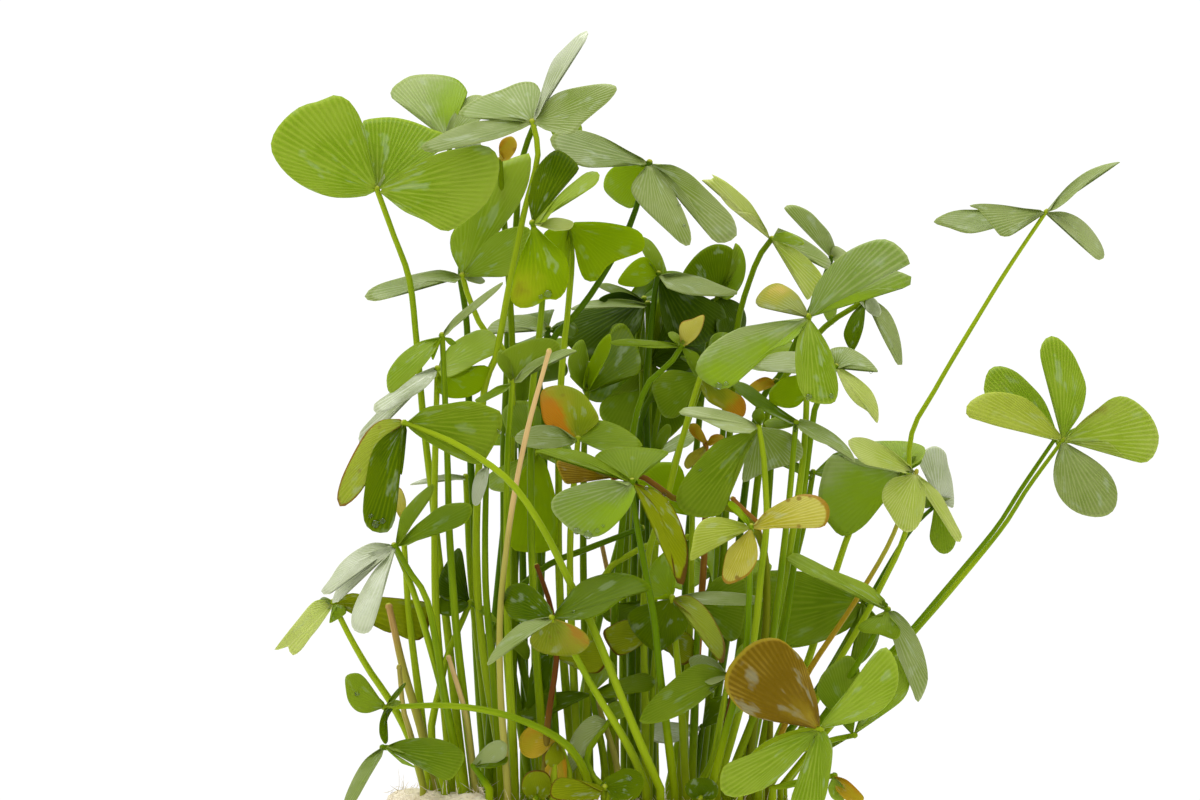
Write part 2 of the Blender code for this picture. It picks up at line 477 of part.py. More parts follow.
def make_wool_plug(material):
    """A turned, slightly tapered plug with a rounded upper edge and a flat bottom."""
    profile = [(WOOL_BOTTOM_RADIUS - WOOL_CHAMFER, 0.0), (WOOL_BOTTOM_RADIUS, WOOL_CHAMFER)]
    slope = (WOOL_TOP_RADIUS - WOOL_BOTTOM_RADIUS) / WOOL_HEIGHT
    shoulder = WOOL_HEIGHT - WOOL_EDGE_ROUND
    profile.append((WOOL_BOTTOM_RADIUS + slope * shoulder, shoulder))
    for step in range(1, WOOL_EDGE_STEPS + 1):
        angle = math.pi / 2 * step / WOOL_EDGE_STEPS
        profile.append((WOOL_TOP_RADIUS - WOOL_EDGE_ROUND * (1 - math.cos(angle)),
                        shoulder + WOOL_EDGE_ROUND * math.sin(angle)))
    points = []
    faces = []
    for radius, height in profile:
        for side in range(WOOL_SIDES):
            angle = 2 * math.pi * side / WOOL_SIDES
            points.append(Vector((radius * math.cos(angle), radius * math.sin(angle), height)))
    for ring in range(len(profile) - 1):
        for side in range(WOOL_SIDES):
            beside = (side + 1) % WOOL_SIDES
            low = ring * WOOL_SIDES
            high = low + WOOL_SIDES
            faces.append((low + side, low + beside, high + beside, high + side))
    faces.append(tuple(range(WOOL_SIDES)))
    faces.append(tuple(range(len(points) - WOOL_SIDES, len(points))))
    return add_mesh("wool_plug", points, faces, material)


def main():
    clear_scene()
    green = make_material("leaf_green", GREEN, 0.4)
    aged = {"yellow_frond": make_material("leaf_yellow", YELLOW, 0.45),
            "brown_fan": make_material("leaf_brown", BROWN, 0.45)}
    dry = make_material("dry_stalk", DRY, 0.7)
    wool = make_material("mineral_wool", CREAM, 0.95)
    make_wool_plug(wool)
    for name, foot, tip, bends, leaves in FRONDS:
        make_frond("frond_" + name, foot, tip, bends, leaves, aged.get(name, green))
    for name, foot, tip, bends in BARE_STALKS:
        make_bare_stalk(name, foot, tip, bends, dry)


main()
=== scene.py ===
# %% [markdown]
# # A water clover in a plug of mineral wool
# Water clover is a small fern that stands in shallow water. It is all stalks and leaves: each
# frond is one long thin stalk with four fan-shaped leaflets on its tip, like a lucky clover.
# This lesson grows some sixty fronds from one table of numbers, gives the blades their fine
# fanning veins and their glow, and packs the feet of the stalks into cream mineral wool.

import math
import random

import bmesh
import bpy
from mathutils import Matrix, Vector, noise


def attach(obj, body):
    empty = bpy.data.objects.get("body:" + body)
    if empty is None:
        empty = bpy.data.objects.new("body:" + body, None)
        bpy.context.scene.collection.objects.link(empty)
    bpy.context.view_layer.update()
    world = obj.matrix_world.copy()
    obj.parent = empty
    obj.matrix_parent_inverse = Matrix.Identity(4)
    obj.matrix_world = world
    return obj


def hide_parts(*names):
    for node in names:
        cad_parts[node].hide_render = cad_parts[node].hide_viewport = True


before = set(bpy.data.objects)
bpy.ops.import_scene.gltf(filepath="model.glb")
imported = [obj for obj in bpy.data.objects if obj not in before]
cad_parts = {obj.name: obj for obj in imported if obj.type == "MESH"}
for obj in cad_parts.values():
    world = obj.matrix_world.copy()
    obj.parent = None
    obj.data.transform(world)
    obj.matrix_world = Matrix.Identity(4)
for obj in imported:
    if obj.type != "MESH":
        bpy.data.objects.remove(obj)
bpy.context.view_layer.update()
print("nodes in the frame:", len(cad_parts))

# %% [markdown]
# The lengths below are in millimetres, because a leaf 10 long is easier to think about than a
# leaf 0.01 long. `LEVEL` is the height in the frame of the table's own zero, just under the top
# of the wool. x runs to the right, y away from the viewer, h upwards.

# %% Sizes
MM = 0.001
WOOL_HEIGHT = 40.0
WOOL_TOP_RADIUS = 22.0
WOOL_BOTTOM_RADIUS = 19.0
WOOL_EDGE_ROUND = 2.0
LEVEL = WOOL_HEIGHT - 1.0
FOOT_GAP = 0.35
DEPTH_EASE = 1.25
STALK_FOOT_RADIUS = 0.46
STALK_TIP_RADIUS = 0.28
FAN_SHOULDER = 0.55
FAN_ROUNDNESS = 2.5
FAN_SPREAD = math.radians(43.0)
DEFAULT_CUP = 0.4
DEFAULT_BOW = 0.5

# %% [markdown]
# ## The table of fronds
# A plant like this can be grown by rule, scattered by chance, or written down frond by frond.
# A rule gives a tidy fountain, and chance gives a bush, but neither gives this plant, so here
# each frond is one row. A row holds its foot in the wool, its hub (where the four leaflets
# meet), the points its stalk passes through, and the four leaflets. A leaflet is the step from
# the hub to its tip, its width, and its roll: roll 0 shows the blade's face to the front and
# 90 shows its edge. Two more numbers, where they are given, are how far its edges curl (cup)
# and how far its middle arches (bow).

# %% Fronds
FRONDS = [
    ("crown_left", (-13.5, -7.0), (-22.2, -9, 60.9),
     [(-15.6, 20), (-17.6, 38), (-18.3, 46), (-19.0, 52), (-20.6, 56.5)],
     [(-8.3, -2, 7.3, 10.0, 8), (3.7, 5, 7.2, 7.0, 0), (11.0, -3, 0.5, 8.0, 12), (1.5, 9, 1.0, 7.0, 40)]),
    ("crown_left_back", (-11.5, 6.0), (-15.3, 7, 66.0),
     [(-12.6, 20), (-13.3, 46), (-14.0, 52), (-13.7, 57.5), (-14.4, 62)],
     [(-1.9, 5, 6.4, 7.0, 0), (4.8, 2, 4.2, 4.0, 35), (-5.0, 3, -3.0, 4.4, 40), (3.6, 6, -2.4, 4.6, 40)]),
    ("crown_top", (-9.5, -9.5), (-6.7, -10, 67.6),
     [(-12.2, 20), (-11.7, 39.5), (-10.3, 44.5), (-9.0, 51.5), (-7.6, 58.5), (-6.2, 64.3)],
     [(-11.1, -3, -2.3, 5.5, 52), (-7.1, 4, 1.4, 5.0, 60), (5.4, 2, 9.3, 5.5, 72),
      (8.4, -3, 3.6, 5.4, 35)]),
    ("crown_top_back", (-7.0, 2.5), (-6.0, 3, 69.0),
     [(-9.5, 20), (-9.3, 45), (-8.4, 57), (-7.8, 64)],
     [(-5.6, 2, 1.8, 4.0, 25), (4.4, 5, 1.4, 4.0, 45), (0.5, 7, 1.5, 5.0, 50), (3.8, 1, -3.0, 3.0, 0)]),
    ("crown_right", (-5.0, -2.5), (4.9, -4, 63.6),
     [(-8.6, 20), (-6.6, 38), (-5.0, 45.5), (-2.5, 48.5), (0.0, 52), (3.0, 57.5)],
     [(-9.7, 3, 2.4, 5.0, 42), (-4.5, 6, -2.1, 6.4, 10), (3.9, -4, -8.2, 5.6, 5),
      (8.6, -1, -7.3, 5.4, 20)]),
    ("right_shoulder", (10.0, 4.0), (17.1, 2, 56.0),
     [(12.0, 20), (13.2, 40), (13.8, 47.5), (15.0, 52), (16.0, 54.5)],
     [(-6.6, 0, 6.2, 4.2, 15), (5.7, 1, -2.5, 4.0, 50), (3.7, -3, -5.7, 3.8, 10),
      (-1.5, 8, -1.5, 5.0, 50)]),
    ("inner_left", (-5.5, -12.5), (-6.7, -14, 57.5),
     [(-6.6, 20), (-6.9, 38), (-5.9, 48), (-5.6, 53)],
     [(2.7, 4, 7.0, 5.0, 0), (6.7, 0, 5.0, 4.0, 45), (0.8, -3, -8.0, 6.4, 0, 0.9),
      (3.0, 4, 0.4, 4.0, 65)]),
    ("left_high", (-8.5, -4.0), (-13.7, -5, 52.3),
     [(-9.4, 20), (-8.8, 42), (-11.8, 47.2), (-13.3, 50.8)],
     [(6.2, 3, 11.6, 5.0, 10), (5.5, -2, 4.2, 4.6, 5), (-9.8, 1, -2.0, 4.6, 66), (2.0, 6, -0.6, 5.0, 60)]),
    ("centre_lime", (-2.5, -6.5), (-3.0, -7, 57.4),
     [(-4.0, 20), (-4.0, 40), (-3.2, 49), (-2.8, 54)],
     [(7.3, -2, -2.0, 5.6, 5), (-4.0, 3, -4.0, 5.0, 10), (-1.0, 7, 2.5, 5.0, 30), (1.0, 4, -5.5, 4.0, 5)]),
    ("inner_dark", (5.0, 4.0), (5.8, 4, 52.5),
     [(5.0, 20), (4.6, 40), (4.9, 45), (5.4, 50)],
     [(-2.2, 2, 4.3, 3.0, 40), (-4.2, -1, 0.3, 3.4, 20), (8.2, -3, -2.5, 5.0, 62),
      (6.0, 5, -4.0, 4.6, 20)]),
    ("inner_dark_left", (2.5, 10.0), (4.4, 10, 50.0),
     [(2.4, 20), (3.4, 42)],
     [(-5.2, -2, 2.6, 3.6, 35), (-8.0, 2, 0.2, 4.4, 40), (-3.2, 5, -5.2, 6.2, 5),
      (4.0, 4, -4.0, 4.4, 20)]),
    ("back_pair", (8.5, 10.5), (11.8, 10, 50.4),
     [(8.5, 20), (10.4, 42)],
     [(-3.4, -1, 3.4, 5.0, 15), (2.2, 1, 4.8, 4.0, 5), (4.5, 4, -3.0, 4.6, 30), (-1.0, 6, -2.4, 4.6, 40)]),
    ("yellow_tip", (1.0, -4.0), (8.1, -8, 45.3),
     [(1.6, 20), (3.2, 36), (4.8, 41.6), (6.8, 43.4)],
     [(2.2, 0, 3.2, 2.4, 20), (-7.1, -2, 0.4, 3.2, 76), (2.6, 2, -3.0, 3.0, 10), (-0.5, 5, 0.6, 3.6, 60)]),
    ("folded", (-1.0, 1.0), (-1.3, 0, 40.7),
     [(-1.6, 20), (-1.6, 34)],
     [(2.5, -2, 6.0, 3.0, 50, 1.2), (-1.6, 0.6, 5.2, 2.8, 40, 1.2), (4.6, 3.6, 6.0, 3.2, 45),
      (-3.6, -1, 0.6, 3.4, 45)]),
    ("right_back", (10.4, 9.8), (23.2, 7, 54.2),
     [(13.2, 20), (15.6, 38), (18.3, 43), (20.6, 48), (22.2, 51.5)],
     [(-4.5, -1, 5.2, 3.6, 30), (2.0, 0.5, 1.4, 2.6, 30), (3.0, 6, -0.8, 4.4, 40),
      (0.2, 5, -4.2, 4.0, 20)]),
    ("right_hanging", (12.2, 7.4), (26.6, 4, 50.0),
     [(14.6, 20), (16.6, 38), (19.4, 43.5), (22.6, 47.4)],
     [(-1.8, -2.5, -5.2, 3.4, 30), (1.0, -4, 0.6, 2.6, 30), (3.3, -1, -6.6, 3.8, 40),
      (1.5, 6, 0.5, 4.4, 60)]),
    ("right_front_large", (14.0, -7.0), (20.8, -12, 48.2),
     [(18.0, 20), (20.0, 32), (20.6, 40), (20.4, 45)],
     [(9.6, -2, 6.4, 6.4, 12), (-11.0, -4, -5.5, 6.0, 15), (0.8, -4, -8.5, 4.6, 0),
      (-5.0, 4, 2.2, 4.0, 20)]),
    ("right_mid", (15.5, -4.0), (23.5, -5, 43.2),
     [(18.8, 20), (21.2, 37.5), (21.8, 40)],
     [(-8.0, 3, 0.0, 3.6, 55), (4.3, 0, -0.2, 3.0, 60), (4.2, -3, -5.2, 3.4, 25),
      (-4.8, 1, -3.4, 3.8, 0)]),
    ("middle_right", (11.6, -11.6), (15.8, -16, 37.3),
     [(14.6, 12), (16.2, 24), (16.6, 28), (16.3, 34)],
     [(-8.0, -2, 1.4, 5.0, 66), (-6.0, -1, -8.5, 5.4, 0), (2.6, 5.6, -5.0, 5.0, 0, 0.2, -0.3),
      (1.6, -3.6, 1.0, 3.0, 60)]),
    ("middle_right_wet", (12.6, -9.4), (19.5, -14, 37.6),
     [(16.4, 12), (18.6, 28)],
     [(-6.7, 2, 4.0, 4.0, 55), (5.7, -3, -3.4, 4.6, 58), (-2.0, 5, -0.4, 3.4, 60),
      (-0.4, -3.6, 0.6, 2.6, 60)]),
    ("right_big", (15.6, 1.6), (30.5, 3, 33.2),
     [(20.2, 12), (24.0, 24), (25.6, 28), (28.2, 31)],
     [(-8.3, -1, -5.2, 7.2, 0), (-2.6, 4, 2.6, 4.4, 20), (3.4, 1, 2.6, 3.6, 20), (0.4, 3, -4.6, 3.4, 20)]),
    ("right_light", (16.0, -7.0), (31.5, -8, 32.7),
     [(19.0, 9), (21.2, 13.5), (25.5, 20), (28.5, 25), (30.2, 29)],
     [(-6.3, -1, 2.8, 3.6, 45), (-1.0, -3, -5.8, 4.4, 0), (4.6, -1, -6.6, 3.4, 30),
      (-1.5, 4, 2.6, 5.0, 20)]),
    ("right_outer", (15.0, 5.5), (34.0, 8.5, 29.7),
     [(22.4, 12), (27.2, 20.5), (31.2, 27)],
     [(-0.8, -1, 4.5, 3.4, 30), (0.4, 1, -5.6, 3.0, 20), (2.4, -1, -1.8, 2.8, 50),
      (-1.0, 5, -0.4, 4.4, 50)]),
    ("far_right_tall", (17.0, -1.5), (44.5, -2, 58.7),
     [(22.8, 12), (27.6, 20.5), (30.7, 27.6), (31.0, 36), (33.5, 41), (38.5, 49.5), (41.0, 53.5)],
     [(7.3, 1, 5.1, 4.6, 82), (5.3, -2, -4.7, 3.4, 55), (-7.7, -3, 0.7, 5.4, 48),
      (-11.1, 3, -0.9, 4.6, 60)]),
    ("far_right_low", (18.0, -6.0), (46.1, -8, 35.9),
     [(26.0, 11), (31.5, 17), (35.0, 21), (40.0, 27), (42.7, 31.3)],
     [(-9.4, -2, 2.9, 4.8, 20), (-1.5, 1, 10.5, 4.2, 15), (9.4, -1, 1.4, 6.2, 5),
      (4.0, -3, -7.2, 5.6, 5)]),
    ("far_right_twin", (18.4, -3.0), (45.4, -2, 36.0),
     [(25.6, 11), (30.6, 16.5), (34.4, 21), (39.4, 27), (42.0, 31)],
     [(-6.4, 1, 6.6, 4.8, 10), (-7.0, 2, 1.5, 4.0, 30), (5.4, 3, 1.2, 4.6, 20), (2.6, 2, -4.6, 4.6, 10)]),
    ("left_front_arch", (6.0, -18.0), (-19.3, -24, 37.7),
     [(4.0, 6), (-1.0, 18), (-3.0, 22), (-5.5, 27), (-9.0, 32), (-14.0, 35.5)],
     [(9.0, 3, -0.8, 6.0, 10), (-2.4, -2, -11.0, 3.6, 20), (-6.5, 1, -8.2, 3.4, 35),
      (-0.8, 5, -7.0, 4.4, 20)]),
    ("left_upper", (-12.5, -12.0), (-15.7, -16, 46.3),
     [(-14.6, 20), (-15.2, 35), (-15.5, 42)],
     [(-5.7, -1, -5.3, 3.8, 40), (5.8, -2, -0.8, 5.2, 20), (6.2, 2, 5.4, 3.8, 78),
      (2.4, 4, -5.6, 5.0, 10, 0.2, 0.0)]),
    ("left_glossy", (-14.8, -9.4), (-16.2, -12, 43.0),
     [(-16.4, 20), (-16.4, 34)],
     [(-6.8, -3, -4.2, 4.0, 45), (-7.0, 3, -7.6, 3.2, 50), (4.2, 3, 2.0, 4.0, 40),
      (3.4, 2, -3.6, 4.4, 10)]),
    ("inner_mid", (-8.5, -15.0), (-8.7, -16, 41.7),
     [(-9.2, 20), (-9.2, 34)],
     [(-2.2, 0, 2.5, 2.8, 20), (3.4, 0.4, 5.2, 3.0, 15), (5.5, -3.2, 2.2, 3.0, 60, 0.4, 1.0),
      (-0.8, -1, -3.0, 2.2, 20)]),
    ("inner_arch", (-4.5, 3.0), (-5.2, 1, 47.0),
     [(-6.0, 20), (-6.2, 40)],
     [(-6.5, -1, 0.8, 4.4, 70), (4.4, 5, -0.6, 4.4, 45), (-2.0, 6, 1.6, 4.2, 45),
      (-0.4, 4, -5.2, 4.4, 10)]),
    ("centre_small", (-2.0, -9.0), (-2.2, -12, 36.0),
     [(-2.6, 12), (-3.0, 25)],
     [(-5.8, -4, 0.4, 3.0, 32), (6.0, -2, 0.2, 3.8, 45), (-2.4, 3, 4.8, 5.0, 10),
      (1.6, -2.4, -4.2, 4.2, 10)]),
    ("big_left_leaf", (-6.0, -6.5), (-6.2, -8, 34.8),
     [(-6.4, 12), (-6.6, 26)],
     [(-1.4, -2, -9.8, 5.4, 0), (-3.8, 3, -2.6, 3.6, 30), (6.6, -1, -2.2, 3.6, 20),
      (-0.6, 3, 3.2, 3.2, 30)]),
    ("centre_front", (7.4, -15.5), (3.2, -20, 31.8),
     [(6.0, 12), (5.4, 18), (4.5, 23), (3.3, 30)],
     [(-7.0, -3, -3.6, 5.4, 10), (-9.7, 1, 3.2, 3.6, 74), (0.8, 4, 3.4, 5.6, 20),
      (5.3, -1, -8.6, 3.4, 30)]),
    ("inner_right", (5.5, -1.0), (10.4, -2, 42.4),
     [(5.5, 24), (7.0, 32), (9.0, 38.5)],
     [(-4.5, 1, -2.4, 4.4, 20), (4.0, 3, 3.4, 5.0, 20), (5.4, 1, -3.4, 4.4, 20), (-0.8, 5, 1.0, 4.4, 60)]),
    ("left_low", (-13.4, -13.6), (-20.3, -18, 25.4),
     [(-14.8, 7), (-16.3, 16), (-17.4, 20.5), (-19.0, 23)],
     [(-6.4, 2, -5.2, 3.6, 40), (3.7, 3, 5.9, 3.6, 35), (6.9, 0, 3.8, 3.6, 35),
      (-4.3, -5, -8.0, 3.6, 35)]),
    ("far_left_low", (-17.5, -6.5), (-26.6, -8, 19.7),
     [(-19.0, 6.2), (-21.0, 10), (-23.0, 13), (-25.0, 16.5)],
     [(-5.4, -2, -4.6, 4.0, 30), (-3.6, 3, -4.9, 4.0, 35), (9.2, 2, -1.8, 5.4, 10),
      (1.6, 6, -0.6, 4.0, 50)]),
    ("left_stray", (-1.0, -17.0), (-21.3, -20, 9.5),
     [(-2.0, 4), (-4.2, 6.4), (-9.0, 8.6), (-15.0, 9.6)],
     [(-3.9, -1, 1.6, 3.6, 10), (1.8, 1, 2.3, 1.8, 50), (-0.7, -1, -3.7, 1.8, 45),
      (0.8, 3, 0.6, 3.0, 60)]),
    ("left_base", (-15.8, -10.2), (-21.5, -13, 5.4),
     [(-15.9, 2.6), (-17.6, 4.6), (-20.0, 5.4)],
     [(8.0, -5, -1.4, 4.4, 25), (-3.8, -2, -5.4, 3.0, 55), (1.6, 4, 1.6, 4.0, 45),
      (-3.4, 4, -0.4, 4.0, 50)]),
    ("centre_low", (4.6, -16.4), (-4.7, -24, 18.3),
     [(3.6, 4), (2.0, 7), (-1.0, 12), (-3.4, 16.4)],
     [(8.7, 1, 3.9, 4.2, 40), (-6.5, -2, -4.3, 3.4, 70), (-4.4, 5, 1.2, 4.6, 10),
      (-1.0, 4, -3.4, 4.6, 15)]),
    ("low_dark", (0.5, -8.5), (-0.8, -12, 10.7),
     [(0.4, 4)],
     [(-7.0, 3, -2.2, 3.8, 40), (5.0, 0, 2.0, 4.0, 50), (2.4, 5, -0.6, 4.0, 40), (0.6, 3, 4.0, 3.6, 20)]),
    ("curled_yellow", (8.6, -9.0), (7.2, -15, 20.2),
     [(8.2, 8), (7.6, 15)],
     [(5.0, -2, -6.4, 3.4, 40, 0.6, 1.6), (9.2, 5, -0.6, 3.4, 60), (-4.5, 3, 1.2, 3.8, 40),
      (-3.6, 3, -3.6, 4.2, 10)]),
    ("low_green", (9.6, -13.2), (12.8, -17, 12.6),
     [(11.2, 4), (12.0, 8.6)],
     [(-8.4, -2, -4.2, 5.6, 15), (4.0, 1, 2.4, 4.0, 30), (-3.6, 4, 2.4, 4.4, 30),
      (1.4, 3.4, -3.4, 3.0, 20)]),
    ("yellow_frond", (11.0, -15.6), (15.0, -22, 27.3),
     [(12.5, 7), (14.4, 14.4), (14.8, 20)],
     [(-5.8, -2, -1.8, 3.8, 20), (7.6, -2, 1.5, 3.8, 20), (-1.2, -2, -5.6, 3.8, 5),
      (-1.6, 4, 2.4, 2.4, 30)]),
    ("brown_fan", (13.8, -13.3), (21.8, -21, 7.3),
     [(13.9, 2.6), (16.0, 5.4), (19.4, 7.0)],
     [(-7.0, -1, 7.0, 8.4, 0), (7.3, -1, 7.0, 4.4, 15), (-9.0, -2, -6.0, 4.8, 15),
      (-0.8, -2, -7.5, 4.0, 15)]),
    ("right_low", (15.8, -11.2), (25.2, -13, 6.6),
     [(16.0, 2.4), (18.8, 4.6), (22.6, 6.0)],
     [(5.2, 1, 6.0, 4.4, 10), (-2.4, 2, 4.8, 4.0, 20), (-1.4, 5, -2.0, 4.0, 30), (5.0, 3, -1.0, 4.0, 60)]),
    ("right_edge", (16.0, -8.6), (28.6, -12, 19.0),
     [(22.0, 8), (26.2, 14.6)],
     [(3.5, -1, -8.6, 3.8, 30), (-8.2, 2, 5.0, 4.4, 40), (-3.2, -2, -2.6, 3.8, 50),
      (1.4, 3, 2.4, 3.8, 50)]),
    ("right_low_fan", (13.4, 4.6), (26.4, 2, 19.8),
     [(14.4, 3), (19.5, 7.5), (24.4, 15)],
     [(-9.4, -1, -1.2, 7.4, 0), (-3.6, -2, -7.0, 4.4, 20), (3.4, 3, -3.4, 4.4, 40),
      (2.4, 1.5, 2.6, 3.4, 30)]),
    ("behind_left", (-7.0, 13.5), (-6.6, 18, 45.5),
     [(-6.0, 20), (-5.6, 36)],
     [(-6.0, 3, 0.6, 6.4, 60), (6.0, 2, 1.6, 6.4, 60), (1.0, 7, 1.0, 6.4, 70), (-0.6, -5, 3.4, 5.4, 45)]),
    ("behind_middle", (2.5, 16.0), (3.6, 25, 50.0),
     [(3.0, 20), (3.6, 38)],
     [(-6.4, 1, 2.4, 6.6, 45), (6.6, 1, 1.2, 6.6, 55), (0.0, 8, -1.0, 6.6, 70), (0.4, -6, 2.0, 5.6, 60)]),
    ("behind_right", (10.5, 15.0), (13.0, 21, 43.6),
     [(11.6, 20), (12.2, 34)],
     [(-6.4, 1, 0.6, 6.0, 50), (6.2, 2, 2.4, 6.0, 50), (1.0, 7, 0.0, 6.4, 70), (-0.4, -5, -2.0, 5.4, 60)]),
    ("behind_low_left", (-12.0, 11.5), (-9.0, 19, 35.4),
     [(-11.0, 14), (-9.6, 28)],
     [(-5.6, 2, 1.4, 6.0, 50), (6.2, 2, -0.6, 6.0, 50), (-0.6, 7, 0.4, 6.0, 70), (0.6, -6, 1.0, 5.0, 65)]),
    ("behind_low_right", (14.5, 10.5), (21.4, 17, 32.6),
     [(17.6, 16), (20.4, 27)],
     [(-6.4, 2, 0.4, 6.0, 55), (5.4, 3, -0.8, 6.0, 50), (0.8, 7, 0.6, 6.0, 70), (0.0, -5, 2.4, 5.0, 60)]),
    ("behind_far", (-3.0, 17.5), (4.6, 30, 34.0),
     [(-1.0, 14), (2.0, 26)],
     [(-6.4, 1, 0.8, 6.4, 55), (6.4, 1, 0.4, 6.4, 55), (0.6, 7, -1.6, 6.4, 75), (-0.8, -6, 2.2, 5.4, 60)]),
    ("behind_bottom", (7.0, 17.5), (11.4, 28, 22.4),
     [(8.4, 8), (10.0, 16)],
     [(-6.0, 1, -0.8, 6.0, 55), (6.0, 2, 0.6, 6.0, 55), (0.8, 7, -2.4, 6.0, 75), (0.4, -6, 1.8, 5.0, 60)]),
]

# %% [markdown]
# Some small shoots between the big fronds are too slight to matter to the shape of the plant.
# They are written in the same way, with as many leaflets as they still have.

# %% Small shoots and withered stalks
SHOOTS = [
    ("left_inner_low", (-15.4, -12.0), (-13.0, -9, 19.7), [(-16.8, 6.5), (-16, 11), (-15.2, 14.5), (-13.7, 18)],
     [(-3.7, -1, -0.3, 1.7, 20), (2.8, -1, -2, 0.9, 20), (-1.5, 2, 4, 2.4, 20)]),
    ("base_small", (-11.0, -17.6), (-12.5, -17, 3.5), [],
     [(3, -0.5, 2, 2.2, 20), (2.5, -1, 0.3, 2, 60)]),
    ("old_yellow", (-3.0, -17.0), (-4.2, -16.5, 6.2), [(-3.2, 3.4)],
     [(-3.8, 0, -0.3, 3.3, 20), (-0.5, -1, -3, 2.2, 20)]),
    ("base_arch", (0.5, -17.0), (0.8, -14, 7.8), [(-1.0, 3), (-1.2, 5)],
     [(-3.8, -1, -5, 2.6, 30), (2.0, -1, 1.6, 2.6, 50)]),
    ("low_grey", (9.3, -4.0), (10.2, -3, 7.2), [(9.6, 3)],
     [(-6.2, -1, -0.4, 2.4, 55), (3, -1, 2.6, 3.0, 30)]),
    ("bottom_green", (0.6, -19.2), (0.5, -20, 1.6), [],
     [(3, -0.5, 2.6, 4.4, 10), (-3.4, -0.5, 1.6, 3.4, 25)]),
    ("base_brown", (17.2, -12.2), (23.2, -14, 2.6), [(20, 2)],
     [(3.3, -0.5, -2.6, 2.6, 20), (0.8, -1, -3, 2.2, 20)]),
    ("yellow_scrap", (-9.0, -3.0), (-10.0, -3, 63.8), [(-8.6, 20), (-8.8, 45)],
     [(1.2, -0.5, 2, 2, 15)]),
    ("core_band", (4.4, 5.5), (4.8, 7, 49.5), [(4.6, 20), (4.9, 38)],
     [(-7.2, 0, 0.2, 2.4, 50)]),
    # core_dark's leaves, in the darkest finishes, fill the deep shadow in the middle of the plant: painted shade as
    # much as leaves.
    ("core_dark", (3.6, 9.0), (5.0, 8, 43.8), [(4.4, 15), (5.2, 30)],
     [(4.8, 1, 0.6, 4, 10, 0.3, 0.3), (-3.5, 1, -4.5, 4, 10), (0.8, 1, 5, 2, 20), (3, 1, 5, 4, 20),
      (3.4, 0, -7, 4, 20)]),
    ("mid_leaf", (8.0, -5.0), (9.2, -7, 28.4), [(8.4, 8), (9, 18)],
     [(-4, 0, 3.6, 5, 15)]),
    ("brown_leaf", (14.6, -9.0), (1.5, -15, 32.3),
     [(15.4, 8), (16.6, 18), (16.2, 25.5), (13.5, 29), (10, 29.6), (7.4, 30.2), (5.2, 31.8), (3.4, 32.7)],
     [(-5.4, -1, 1.2, 3, 20)]),
    ("low_core", (-4.6, -10.0), (-4.9, -12, 14.6), [(-4.4, 6)],
     [(-1.6, 0.5, -4, 3, 15), (4.6, 0.5, -0.4, 3, 15)]),
    ("olive_leaf", (4.8, -7.0), (5.6, -8, 16.6), [(5, 6)],
     [(-4, 0, -0.4, 3.4, 15), (3.4, 0.5, -1.6, 3, 15)]),
    ("base_round", (-5.6, -18.4), (-6.3, -19, 0.6), [],
     [(0, -0.5, 2.6, 3, 15)]),
    ("base_right", (10.4, -16.4), (10.0, -17, 0.6), [],
     [(0.2, -0.5, 2, 3, 15)]),
    ("pale_extra", (-13.8, -13.0), (-20.4, -17, 25.4), [(-14.6, 6), (-16.2, 13), (-18.6, 21)],
     [(-7.4, -1, -4.6, 2, 40)]),
    ("grey_scrap", (4.2, 1.0), (5.8, 2, 34.8), [(5, 12), (5.4, 24)],
     [(0.8, 0, 2.6, 1.5, 20)]),
    ("rust_scrap", (9.2, 2.0), (10.6, 4, 35.5), [(9.6, 12), (10.4, 24)],
     [(-1.2, 0, 1.8, 1.6, 15), (1.4, 0, 0.6, 1, 15), (-1.8, 0, -1.6, 1.6, 15)]),
    ("orange_scrap", (15.0, -1.0), (17.6, -2, 41.7), [(15.6, 14), (16.8, 30)],
     [(-2.6, 0, -0.2, 1.4, 20)]),
    ("yellow_speck", (-17.0, -8.0), (-19.7, -7, 27.8), [(-17.8, 8), (-19, 18)],
     [(-0.4, 0, 3, 1.2, 20)]),
    ("thin_pale", (-10.6, -5.0), (-13.4, -5, 32.2), [(-11.6, 10), (-12.9, 22)],
     [(-5.5, -1, -0.4, 0.8, 40)]),
    ("glossy_fold", (-9.8, -12.0), (-11.3, -14, 33.4), [(-10.4, 10), (-11.4, 22)],
     [(-1.2, -0.5, -3.6, 1.6, 40)]),
    ("core_leaf", (3.6, 5.0), (4.2, 4.5, 42.6), [(3.8, 15), (4.3, 30)],
     [(-2.4, 0, 4.2, 2.6, 20)]),
    ("lower_core", (5.2, -3.0), (5.0, -2, 19.8), [(5.2, 8)],
     [(1.4, 0, 4.6, 2.4, 20), (2.4, 0, -4.2, 3.6, 15), (-4, 0, -0.6, 2, 30)]),
    ("lower_right", (9.2, -7.5), (9.8, -8, 19.6), [(9.4, 8)],
     [(3.6, 0, 0.4, 6, 15)]),
    ("lower_left", (-9.6, -6.0), (-10.2, -6, 17.6), [(-9.8, 8)],
     [(2.4, 0, -2.6, 2, 25), (-1.6, 0, -2.8, 1.8, 30)]),
    ("inner_arch_extra", (-7.6, 3.0), (-8.0, 4, 43.0), [(-7.6, 15), (-7.8, 30)],
     [(0.2, 0, -3, 3, 15)]),
    ("base_tan", (-4.6, -18.6), (-4.4, -17, 4.8), [(-4.6, 2)],
     [(0, -1, -4.2, 2.6, 15)]),
]

